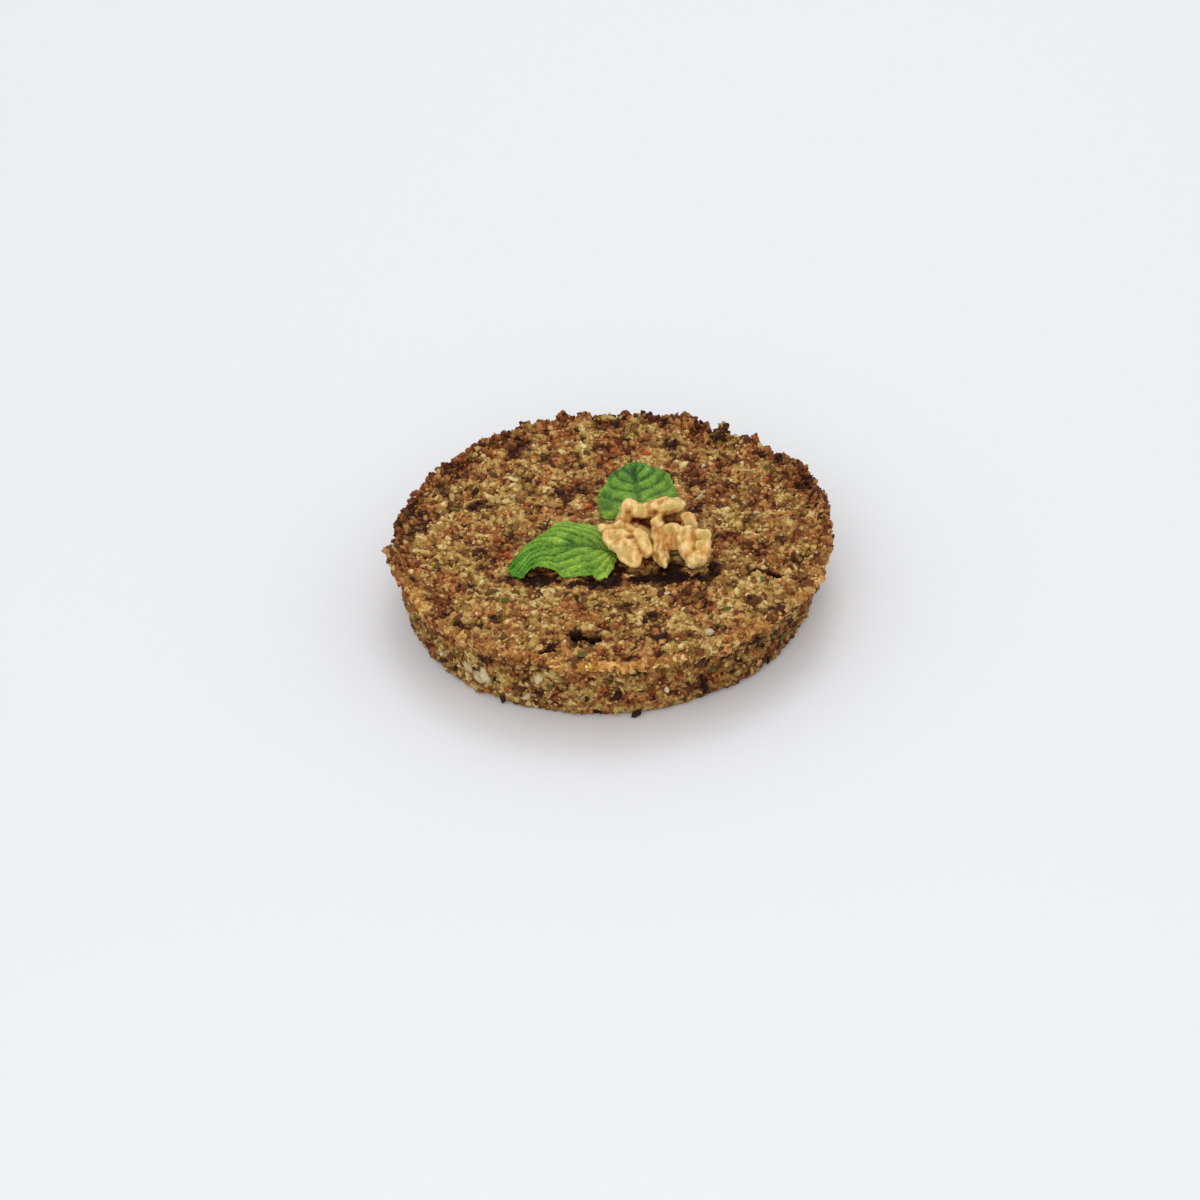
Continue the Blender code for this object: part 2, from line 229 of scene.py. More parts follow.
def addCamera():
    tilt = math.radians(view["elevation"])
    back = Vector((0.0, -math.cos(tilt), math.sin(tilt)))
    place = view["rimCentre"] + back * view["distance"]
    roll = math.radians(view["roll"])
    middle = view["imageWidth"] / 2.0
    right = (view["rimPixel"][0] - middle) / view["pixelsPerMetre"]
    high = (middle - view["rimPixel"][1]) / view["pixelsPerMetre"]
    up = Vector((0.0, math.sin(tilt), math.cos(tilt)))
    aim = view["rimCentre"] - xAxis * (right * math.cos(roll) + high * math.sin(roll))
    aim -= up * (high * math.cos(roll) - right * math.sin(roll))
    data = bpy.data.cameras.new("camera")
    data.sensor_width = view["sensorWidth"]
    data.lens = data.sensor_width * view["pixelsPerMetre"] * view["distance"] / view["imageWidth"]
    data.clip_start, data.clip_end = view["clip"]
    camera = bpy.data.objects.new("camera", data)
    bpy.context.scene.collection.objects.link(camera)
    camera.location = place
    level = (aim - place).to_track_quat("-Z", "Y")
    camera.rotation_euler = (level @ Quaternion(zAxis, -roll)).to_euler()
    bpy.context.scene.camera = camera


def addLamp(name, place, size, power):
    data = bpy.data.lights.new(name, "AREA")
    data.shape = "DISK"
    data.size = size
    data.energy = power
    lamp = bpy.data.objects.new(name, data)
    bpy.context.scene.collection.objects.link(lamp)
    lamp.location = place
    aim = Vector(view["lampAim"]) - Vector(place)
    lamp.rotation_euler = aim.to_track_quat("-Z", "Y").to_euler()


def addWorld():
    world = bpy.data.worlds.new("studio")
    world.use_nodes = True
    backdrop = world.node_tree.nodes["Background"]
    backdrop.inputs["Color"].default_value = (1.0, 1.0, 1.0, 1.0)
    backdrop.inputs["Strength"].default_value = view["worldStrength"]
    bpy.context.scene.world = world
    bpy.context.scene.view_settings.view_transform = "Standard"


def addFloor():
    mesh = bmesh.new()
    bmesh.ops.create_grid(mesh, x_segments=4, y_segments=4, size=view["floorReach"])
    coat, tree, shader = newMaterial("floorCoat", view["floorRoughness"])
    shader.inputs["Base Color"].default_value = (*linear(view["floorColour"]), 1.0)
    floor = asObject("floor", mesh, coat)
    floor.location.z = -view["floorDrop"]


addCamera()
addWorld()
addFloor()
addLamp("keyLamp", view["keyPlace"], view["keySize"], view["keyPower"])
addLamp("fillLamp", view["fillPlace"], view["fillSize"], view["fillPower"])
print("view and light set")


# the round: its form is the CAD's, with the crumb drawn finer
cake = {
    "rimRadius": 56.4 * mm,
    "baseRadius": 52.1 * mm,
    "height": 17.5 * mm,
    "baseShift": -1.6 * mm,
    "topStretch": 0.985,  # the top's cells leave the rest of the radius to the rim
    "lipStart": 0.93,  # share of the radius
    "lipRise": 0.7 * mm,
    # share of the height, and how far the wall draws in there
    "wallProfile": (
        (1.0, 0.0),
        (0.92, 0.2 * mm),
        (0.79, 0.9 * mm),
        (0.60, 0.5 * mm),
        (0.40, 0.3 * mm),
        (0.20, 0.1 * mm),
        (0.03, 0.0),
        (0.0, 0.5 * mm),
    ),
    "swell": (17.0 * mm, 0.55 * mm),  # size, height
    "clump": (5.6 * mm, 1.5 * mm),
    "clumpLevel": 0.55,  # how far from a clump's middle its side is level with the rest
    "grain": (2.7 * mm, 0.85 * mm),
    "tooth": (2.6 * mm, 1.1 * mm, 1.3 * mm),  # size, outwards, upwards
    "toothFloor": -0.2,  # teeth reach no further down than this share
    "toothStart": 0.955,  # share of the radius
    "wallTeeth": (0.7, 0.95, 0.6),  # share of the height where they start and are full, strength
    "backTeeth": 0.5,  # how much taller they are at the back
    "calmMiddle": (-1.0 * mm, 3.0 * mm),  # the flatter ground under the garnish
    "calmReach": (31.0 * mm, 33.0 * mm),
    "calmEdge": (0.75, 1.1),
    "calmShare": 0.3,
    # bearing from +X, half width in degrees, outwards, upwards
    "rimMarks": (
        (182.8, 2.2, 3.0 * mm, 1.0 * mm),
        (179.4, 1.8, -1.8 * mm, -0.8 * mm),
        (58.6, 1.8, -4.2 * mm, -1.8 * mm),
        (55.4, 2.3, -0.2 * mm, 2.0 * mm),
        (68.0, 9.0, 0.6 * mm, 0.5 * mm),
        (24.0, 16.0, 0.8 * mm, 0.4 * mm),
        (334.0, 9.0, 1.3 * mm, 0.0 * mm),
        (101.5, 1.8, 0.4 * mm, 1.0 * mm),
        (190.0, 7.0, 1.0 * mm, 0.2 * mm),
    ),
    # start, end, half width, depth
    "cracks": (
        ((-11.4 * mm, -41.8 * mm), (-5.2 * mm, -43.4 * mm), 1.9 * mm, 3.6 * mm),
        ((-19.6 * mm, -48.0 * mm), (-16.2 * mm, -47.0 * mm), 1.5 * mm, 1.8 * mm),
        ((36.5 * mm, -18.0 * mm), (42.5 * mm, -20.8 * mm), 1.5 * mm, 1.8 * mm),
    ),
    "crackRagged": (1.8 * mm, 0.45),  # size, strength
    # the finer crumb, not in the CAD: size, height
    "fineGrain": (2.0 * mm, 0.55 * mm),
    "finestGrain": (0.9 * mm, 0.2 * mm),
    # least share and what is added to it: of the crumb and the finer crumb over the foot, of the finer on calm ground
    "footCrumb": (0.4, 0.4),
    "footFine": (0.4, 0.6),
    "calmFine": (0.45, 0.55),
    "footHeight": 0.06,  # share of the height
    "topCells": 236,
    "wallRows": 34,
}


def clumps(point, size):
    return cake["clumpLevel"] - noise.voronoi(point / size)[0][0]


def calm(x, y):
    across = (x - cake["calmMiddle"][0]) / cake["calmReach"][0]
    deep = (y - cake["calmMiddle"][1]) / cake["calmReach"][1]
    return cake["calmShare"] + (1.0 - cake["calmShare"]) * smoothStep(*cake["calmEdge"], math.hypot(across, deep))


def crackDepth(x, y):
    depth = 0.0
    raggedSize, raggedShare = cake["crackRagged"]
    for start, end, halfWidth, deepest in cake["cracks"]:
        begin, run = Vector(start), Vector(end) - Vector(start)
        offset = Vector((x, y)) - begin
        along = min(1.0, max(0.0, offset.dot(run) / run.length_squared))
        ragged = 1.0 + raggedShare * noise.noise(Vector((x, y, 0.0)) / raggedSize)
        away = (offset - run * along).length * ragged
        depth = max(depth, deepest * (1.0 - smoothStep(0.3 * halfWidth, halfWidth, away)))
    return depth


def crumb(point, share=1.0):
    swell = cake["swell"][1] * noise.noise(point / cake["swell"][0])
    clump = cake["clump"][1] * clumps(point, cake["clump"][0])
    grain = cake["grain"][1] * noise.noise(point / cake["grain"][0])
    return swell + share * (clump + grain)


def fineCrumb(point):
    fine = cake["fineGrain"][1] * 2.0 * clumps(point, cake["fineGrain"][0])
    return fine + cake["finestGrain"][1] * noise.noise(point / cake["finestGrain"][0])


def topHeight(x, y):
    radius = math.hypot(x, y) / cake["rimRadius"]
    lip = cake["lipRise"] * smoothStep(cake["lipStart"], 1.0, radius)
    relief = crumb(Vector((x, y, cake["height"])), calm(x, y))
    return cake["height"] + lip + relief - crackDepth(x, y)


def rimOffsets(bearing):
    size, out, up = cake["tooth"]
    place = Vector((math.cos(bearing), math.sin(bearing), 0.0)) * cake["rimRadius"] / size
    outwards = out * noise.noise(place)
    taller = 1.0 + cake["backTeeth"] * math.sin(bearing)
    upwards = up * taller * max(cake["toothFloor"], noise.noise(place + zAxis * 9.0))
    for degrees, halfWidth, markOut, markUp in cake["rimMarks"]:
        turn = math.degrees(bearing) - degrees
        away = abs((turn + 180.0) % 360.0 - 180.0)
        share = 1.0 - smoothStep(0.15 * halfWidth, halfWidth, away)
        outwards += markOut * share
        upwards += markUp * share
    return outwards, upwards


# share of the radius and bearing of a point of the square grid that the top is drawn from
def discPlace(a, b):
    if abs(a) < 1e-9 and abs(b) < 1e-9:
        return 0.0, 0.0
    if abs(a) > abs(b):
        radius, bearing = a, math.pi / 4.0 * b / a
    else:
        radius, bearing = b, math.pi / 2.0 - math.pi / 4.0 * a / b
    if radius < 0.0:
        return -radius, bearing + math.pi
    return radius, bearing


def drawIn(share):
    for (high, above), (low, below) in zip(cake["wallProfile"], cake["wallProfile"][1:]):
        if share >= low:
            return below + (above - below) * (share - low) / (high - low)
    return cake["wallProfile"][-1][1]


def wallPoint(bearing, share):
    outwards, _ = rimOffsets(bearing)
    begins, full, strength = cake["wallTeeth"]
    radius = cake["baseRadius"] + (cake["rimRadius"] - cake["baseRadius"]) * share - drawIn(share)
    radius += outwards * strength * smoothStep(begins, full, share)
    z = cake["height"] * share
    place = Vector((radius * math.cos(bearing), radius * math.sin(bearing), z))
    overFoot = smoothStep(0.0, cake["footHeight"], share)
    (least, added), (leastFine, addedFine) = cake["footCrumb"], cake["footFine"]
    radius += crumb(place) * (least + added * overFoot) + fineCrumb(place) * (leastFine + addedFine * overFoot)
    shift = cake["baseShift"] * (1.0 - share)
    return Vector((radius * math.cos(bearing) + shift, radius * math.sin(bearing), z))


def topPoint(a, b):
    share, bearing = discPlace(a, b)
    outwards, upwards = rimOffsets(bearing)
    atRim = smoothStep(cake["toothStart"], 1.0, share)
    stretch = cake["topStretch"]
    least, added = cake["calmFine"]
    radius = share * cake["rimRadius"] * (stretch + (1.0 - stretch) * atRim) + outwards * atRim
    x, y = radius * math.cos(bearing), radius * math.sin(bearing)
    fine = fineCrumb(Vector((x, y, cake["height"]))) * (least + added * calm(x, y))
    return Vector((x, y, topHeight(x, y) + upwards * atRim + fine)), bearing


# keeps the distance over the skin: 0 in the middle of the top, 1 at the rim, 2 at the foot
def makeCore():
    mesh = bmesh.new()
    bearingLayer = mesh.verts.layers.float.new("bearing")
    skinLayer = mesh.verts.layers.float.new("skin")
    bmesh.ops.create_grid(mesh, x_segments=cake["topCells"], y_segments=cake["topCells"], size=1.0)
    for vertex in mesh.verts:
        vertex[skinLayer] = discPlace(vertex.co.x, vertex.co.y)[0]
        vertex.co, vertex[bearingLayer] = topPoint(vertex.co.x, vertex.co.y)
    # the wall goes down ring by ring, always in the same order
    ring = sorted((v for v in mesh.verts if v.is_boundary), key=lambda v: v[bearingLayer] % math.tau)
    for row in range(1, cake["wallRows"] + 1):
        lower = []
        for above in ring:
            vertex = mesh.verts.new(wallPoint(above[bearingLayer], 1.0 - row / cake["wallRows"]))
            vertex[bearingLayer] = above[bearingLayer]
            vertex[skinLayer] = 1.0 + row / cake["wallRows"]
            lower.append(vertex)
        for corners in zip(ring, lower, lower[1:] + lower[:1], ring[1:] + ring[:1]):
            mesh.faces.new(corners)
        ring = lower
    mesh.faces.new(ring)
    bmesh.ops.recalc_face_normals(mesh, faces=mesh.faces)
    return asObject("kibbehCore", mesh)


core = makeCore()
shadeSmooth(core)
print("core made:", len(core.data.polygons), "faces")


# where the bake is red, brown or golden, and where shade is painted, for the core and the crumbs on it
bake = {
    "red": 0.38,
    "redPatches": ((9.0 * mm, 0.9), (3.6 * mm, 1.3)),  # size, strength
    "brownPatches": (4.6 * mm, 0.08, 0.50, 0.6),  # size, noise where it starts and is full, strength
    "rimBand": (0.90, 0.99, 1.05, 1.25),  # over the skin: starts, full, full, ends
    "rimRed": 0.35,
    "rimBrown": (4.0 * mm, -0.35, 0.25, 0.22),  # size, noise where it starts and is full, strength
    "goldBand": (0.95, 0.98, 1.03, 1.08),
    "goldPatches": (4.0 * mm, -0.40, 0.0),
    # the rim's crisp runs: bearing and half width in degrees, strength
    "crispRuns": (
        (200.0, 13.0, 0.7),
        (221.0, 6.0, 0.6),
        (239.0, 6.0, 0.35),
        (263.0, 14.0, 1.0),
        (283.0, 6.0, 0.55),
        (305.0, 8.0, 0.35),
        (338.0, 12.0, 0.6),
    ),
    # patches of redder and of paler mixture in the top: x, y, reach, in mm
    "ruddy": (
        (-24, 44, 6), (22, 25, 5), (30, 19, 5), (39, 13, 5), (50, 20, 5), (30, -3, 4), (37, -8, 4), (20, -26, 4),
        (22, -33, 4), (10, -44, 4), (-8, 23, 6), (-51, 14, 5), (-40, 34, 6), (3, 41, 6), (-30, -4, 5), (-44, -24, 4),
    ),
    "pale": (
        (-26, 15, 8), (31, 6, 9), (-18, -33, 7), (16, -39, 6), (38, -25, 5), (-22, 32, 5), (-38, -8, 6), (4, -26, 5),
    ),
    "patchStrength": {"ruddy": 0.75, "pale": -0.5},
    "patchEdge": (4.0 * mm, 0.6),  # size, raggedness
    "patchBrown": 0.5,  # how much browner for each share redder
    "wallBrown": 0.25,  # the right half of the front wall
    # black-brown hollows in the top: x, y, reach, in mm
    "scorches": (
        (-49.8, 8.9, 2.4), (16.7, 41.6, 3.0), (-34.1, 18.1, 2.4), (-21.8, 27.8, 2.2), (-16.0, -44.9, 1.8),
        (24.9, -41.6, 2.0), (2.7, -31.1, 2.6), (-40.2, -35.1, 2.6), (-37.2, -17.5, 1.7), (-51.7, -14.7, 2.0),
        (-22.9, 43.7, 2.4), (43.5, -5.7, 2.0), (45.8, -15.5, 2.4), (33.9, -30.3, 1.8), (-27.4, -16.9, 3.0),
        (-35.9, 16.0, 1.6), (29.8, 43.5, 2.6), (39.4, -35.8, 2.4), (-8.0, -42.6, 2.4), (21.3, -28.5, 1.6),
        (12.0, 24.0, 2.0), (33.0, 30.5, 2.4), (-44.0, 24.5, 2.6), (36.0, 4.0, 1.8),
    ),
    "scorchEdge": (2.2 * mm, 0.8),
    "scorchBrown": 0.85,
    "crackShade": (0.4 * mm, 2.0 * mm, 2.0),  # painted shade in the cracks: depth where it starts and is full, strength
    # painted shadow on the ground in front of the leaf and the nut: x, y, half width, half depth, in mm
    "paintedShadows": (
        (-18.5, -17.4, 5.6, 2.4), (-8.0, -20.0, 6.0, 1.5), (-2.5, -21.4, 4.0, 1.3), (0.2, -16.6, 3.0, 3.2),
        (6.0, -19.6, 2.2, 1.5), (10.0, -18.6, 3.6, 1.7), (15.2, -17.0, 2.8, 4.2), (21.2, -20.2, 3.6, 1.6),
        (25.4, -16.4, 1.6, 3.0),
    ),
    "shadeEdge": (2.4 * mm, 0.7),
    "paintedShadowStrength": 1.4,
    # the most that browning and painted shade reach together
    "mostBrownAndShade": 2.0,
    "relief": (2.4 * mm, 1.0 * mm),  # height of the crumb and of the finer crumb that spans the tones, which the tone follows as painted shade in the pits and painted light on the raised clumps
}


# how crisp and golden the rim is at a bearing
def ledgeShare(place):
    bearing = math.degrees(math.atan2(place.y, place.x)) % 360.0
    share = 0.0
    for middle, halfWidth, strength in bake["crispRuns"]:
        share = max(share, strength * smoothStep(1.2, 0.7, abs(bearing - middle) / halfWidth))
    return share


def patchNoise(place, size, shift):
    return noise.noise(place / size + Vector((shift, 0.0, 0.0)))


# a patch noise that eases from 0 to 1
def patchShare(place, size, begins, full, shift):
    return smoothStep(begins, full, patchNoise(place, size, shift))


# rises from 0 to 1 and falls again over the skin
def band(limits, skin):
    begins, full, whole, ends = limits
    return smoothStep(begins, full, skin) * smoothStep(ends, whole, skin)


# distance to a place of the top in mm, made ragged
def raggedDistance(place, x, y, edge, shift):
    size, raggedness = edge
    return math.hypot(place.x - x * mm, place.y - y * mm) * (1.0 + raggedness * patchNoise(place, size, shift))


def bakeMaps(place, skin):
    radius = max(1e-6, math.hypot(place.x, place.y))
    toBack, toRight = place.y / radius, place.x / radius
    onTop = smoothStep(1.05, 0.99, skin)
    nearRim = band(bake["rimBand"], skin)
    red = bake["red"]
    for number, (size, strength) in enumerate(bake["redPatches"]):
        red += strength * patchNoise(place, size, 20.0 + number)
    red += bake["rimRed"] * nearRim
    size, begins, full, strength = bake["brownPatches"]
    brownAndShade = strength * patchShare(place, size, begins, full, 40.0)
    size, begins, full, strength = bake["rimBrown"]
    brownAndShade += strength * nearRim * smoothStep(-0.25, 0.25, toBack) * patchShare(place, size, begins, full, 50.0)
    for label, strength in bake["patchStrength"].items():
        for x, y, reach in bake[label]:
            away = raggedDistance(place, x, y, bake["patchEdge"], 65.0)
            near = strength * onTop * smoothStep(1.15 * reach * mm, 0.45 * reach * mm, away)
            red += near
            brownAndShade += bake["patchBrown"] * near
    frontWall = smoothStep(1.08, 1.16, skin) * smoothStep(-0.3, -0.7, toBack)
    brownAndShade = max(0.0, brownAndShade + bake["wallBrown"] * frontWall * smoothStep(-0.2, 0.5, toRight))
    for x, y, reach in bake["scorches"]:
        away = raggedDistance(place, x, y, bake["scorchEdge"], 60.0)
        brownAndShade = max(brownAndShade, bake["scorchBrown"] * onTop * smoothStep(1.35 * reach * mm, 0.45 * reach * mm, away))
    # painted shade in the cracks, added to the browning
    begins, full, strength = bake["crackShade"]
    brownAndShade += strength * onTop * smoothStep(begins, full, crackDepth(place.x, place.y))
    # painted shadow in front of the leaf and the nut, added to the browning
    size, raggedness = bake["shadeEdge"]
    for x, y, wide, deep in bake["paintedShadows"]:
        away = math.hypot((place.x - x * mm) / (wide * mm), (place.y - y * mm) / (deep * mm))
        away += raggedness * patchNoise(place, size, 70.0)
        brownAndShade += bake["paintedShadowStrength"] * onTop * smoothStep(1.4, 0.7, away)
    gold = band(bake["goldBand"], skin) * smoothStep(-0.1, -0.5, toBack)
    gold *= ledgeShare(place) * patchShare(place, *bake["goldPatches"], 80.0)
    reliefSpan, fineSpan = bake["relief"]
    relief = crumb(place, 1.0) / reliefSpan + fineCrumb(place) / fineSpan
    return {
        "redness": min(1.0, max(0.0, red)),
        # browning with the painted shadow and the cracks' painted shade added
        "browned": min(bake["mostBrownAndShade"], max(0.0, brownAndShade)),
        "golden": gold,
        "height": min(1.0, max(0.0, 0.5 + relief)),
        # where the wall's greyer tint and painted shade go
        "side": smoothStep(1.06, 1.2, skin),
    }


def storeMaps():
    skins = [0.0] * len(core.data.vertices)
    core.data.attributes["skin"].data.foreach_get("value", skins)
    maps = [bakeMaps(v.co, skin) for v, skin in zip(core.data.vertices, skins)]
    for label in maps[0]:
        storeFloats(core, label, [values[label] for values in maps])
    return skins


skins = storeMaps()


# colours of the baked mixture, sRGB 0-255 at each tone
crumbColours = {
    "khaki": (
        (0.00, (66, 38, 16)),
        (0.22, (128, 88, 40)),
        (0.45, (168, 132, 68)),
        (0.66, (194, 164, 96)),
        (0.84, (214, 190, 126)),
        (1.00, (240, 222, 172)),
    ),
    "red": (
        (0.00, (50, 18, 8)),
        (0.25, (110, 54, 24)),
        (0.50, (156, 94, 46)),
        (0.75, (190, 132, 74)),
        (1.00, (224, 176, 114)),
    ),
    "gold": (
        (0.00, (146, 88, 32)),
        (0.35, (204, 146, 64)),
        (0.65, (234, 186, 104)),
        (1.00, (252, 224, 158)),
    ),
}


bakedFinish = {
    "browningAndShade": 0.42,  # how far browning and painted shade lower the tone
    "brownAndShadeTint": ((116, 70, 56), 0.5),  # tint of browning, scorches and painted shade: colour, strength
    # the wall's greyer tint, with painted shade that darkens the wall: colour, strength
    "sideGreyAndShade": ((214, 206, 196), 0.55),
    "gold": 0.85,
}


# colour of the baked mixture for a tone of 0 to 1, with the bake maps worked in, painted shade among them
def makeCrumbGroup():
    group = bpy.data.node_groups.new("bakedColour", "ShaderNodeTree")
    for label in ("Tone", "Redness", "Browned", "Golden", "Side"):
        group.interface.new_socket(label, in_out="INPUT", socket_type="NodeSocketFloat")
    group.interface.new_socket("Color", in_out="OUTPUT", socket_type="NodeSocketColor")
    given = group.nodes.new("NodeGroupInput").outputs
    out = group.nodes.new("NodeGroupOutput")
    # Browned carries the browning together with the painted shade
    browningAndShade = addProduct(group, given["Browned"], bakedFinish["browningAndShade"])
    lowered = addMath(group, "SUBTRACT", given["Tone"], browningAndShade, clamp=True)
    khaki = addRamp(group, lowered, crumbColours["khaki"])
    red = addRamp(group, lowered, crumbColours["red"])
    gold = addRamp(group, given["Tone"], crumbColours["gold"])
    colour = addMix(group, given["Redness"], khaki, red)
    for label, finish in (("Browned", "brownAndShadeTint"), ("Side", "sideGreyAndShade")):
        tint, strength = bakedFinish[finish]
        colour = addMix(group, addProduct(group, given[label], strength), colour, tint, "MULTIPLY")
    colour = addMix(group, addProduct(group, given["Golden"], bakedFinish["gold"]), colour, gold)
    group.links.new(colour, out.inputs["Color"])
    return group


crumbGroup = makeCrumbGroup()


def bakedColour(tree, tone, redness):
    mixed = addNode(tree, "ShaderNodeGroup", node_tree=crumbGroup)
    tree.links.new(tone, mixed.inputs["Tone"])
    tree.links.new(redness, mixed.inputs["Redness"])
    for label in ("browned", "golden", "side"):
        tree.links.new(attribute(tree, label), mixed.inputs[label.capitalize()])
    return mixed.outputs["Color"]


coreFinish = {
    "roughness": 0.75,
    "shine": 0.12,
    "grains": 620.0,  # scales of the patterns
    "fine": 1300.0,
    "cellTone": 0.50,
    "fineTone": 0.50,
    # how far the crumb's relief darkens and lightens its tone: painted shade and light
    "reliefShadeTone": 0.6,
    "gapTone": 0.25,
    "mixedRed": 0.9,
}


def coreCoat():
    coat, tree, shader = newMaterial("bakedCrumb", coreFinish["roughness"], coreFinish["shine"])
    place = coordinates(tree)
    cells = addNode(tree, "ShaderNodeTexVoronoi", {"Vector": place, "Scale": coreFinish["grains"], "Randomness": 1.0})
    chance = addNode(tree, "ShaderNodeSeparateColor", {"Color": cells.outputs["Color"]}).outputs
    fine = addNoise(tree, place, coreFinish["fine"], 3.0, Roughness=0.65)
    tone = addProduct(tree, chance["Red"], coreFinish["cellTone"])
    tone = addMath(tree, "ADD", tone, addProduct(tree, fine, coreFinish["fineTone"]))
    # painted shade and light: darker in the crumb's pits, lighter on its raised clumps
    tone = addMath(tree, "ADD", tone, addLean(tree, attribute(tree, "height"), 0.5, coreFinish["reliefShadeTone"]))
    gap = addProduct(tree, addRange(tree, cells.outputs["Distance"], 0.35, 0.8), coreFinish["gapTone"])
    tone = addMath(tree, "SUBTRACT", tone, gap, clamp=True)
    mixed = addLean(tree, chance["Green"], 0.5, coreFinish["mixedRed"])
    redness = addMath(tree, "ADD", attribute(tree, "redness"), mixed, clamp=True)
    tree.links.new(bakedColour(tree, tone, redness), shader.inputs["Base Color"])
    height = addMath(tree, "SUBTRACT", addProduct(tree, fine, 0.7), cells.outputs["Distance"])
    addBump(tree, shader, height, 0.6, 0.7 * mm)
    return coat


core.data.materials.append(coreCoat())
finishPiece(core, ["kibbeh_cake"])


# crumbs scattered over the round; each kind has a few lumps with sides around and down
grainKinds = {
    "bulgur": {"sides": (6, 4), "sizes": (1.0, 0.64, 0.5), "lump": 0.5, "shapes": 5},
    "meat": {"sides": (6, 4), "sizes": (1.0, 0.72, 0.6), "lump": 0.8, "shapes": 5},
    "speck": {"sides": (4, 3), "sizes": (0.9, 0.75, 0.6), "lump": 0.4, "shapes": 3},
}


# a closed ball, its corners always in the same order
def addBall(mesh, around, down, radius):
    rings = []
    for row in range(1, down):
        fall = math.pi * row / down
        ring = []
        for side in range(around):
            turn = math.tau * (0.25 + side / around)
            level = Vector((math.cos(turn), math.sin(turn), 0.0)) * math.sin(fall)
            ring.append(mesh.verts.new((level + zAxis * math.cos(fall)) * radius))
        rings.append(ring)
    top, bottom = mesh.verts.new(zAxis * radius), mesh.verts.new(zAxis * -radius)
    for upper, lower in zip(rings, rings[1:]):
        for corners in zip(upper, lower, lower[1:] + lower[:1], upper[1:] + upper[:1]):
            mesh.faces.new(corners)
    for first, second in zip(rings[0], rings[0][1:] + rings[0][:1]):
        mesh.faces.new((top, first, second))
    for first, second in zip(rings[-1], rings[-1][1:] + rings[-1][:1]):
        mesh.faces.new((bottom, second, first))


# small closed lumps, 1 unit long, that the scatter copies
def makeKinds(name, kind, seed):
    box = bpy.data.collections.new(name)
    bpy.context.scene.collection.children.link(box)
    for number in range(kind["shapes"]):
        mesh = bmesh.new()
        addBall(mesh, *kind["sides"], 0.5)
        shift = Vector((seed * 3.7, number * 5.1, 0.0))
        for vertex in mesh.verts:
            push = 1.0 + kind["lump"] * noise.noise(vertex.co * 3.0 + shift)
            vertex.co = Vector([c * s for c, s in zip(vertex.co * push, kind["sizes"])])
        data = bpy.data.meshes.new(name)
        mesh.to_mesh(data)
        mesh.free()
        data.polygons.foreach_set("use_smooth", [True] * len(data.polygons))
        box.objects.link(bpy.data.objects.new(name + str(number), data))
    return box


scatterSeeds = {"turn": 11, "size": 12, "shape": 13, "tone": 14, "hue": 15}


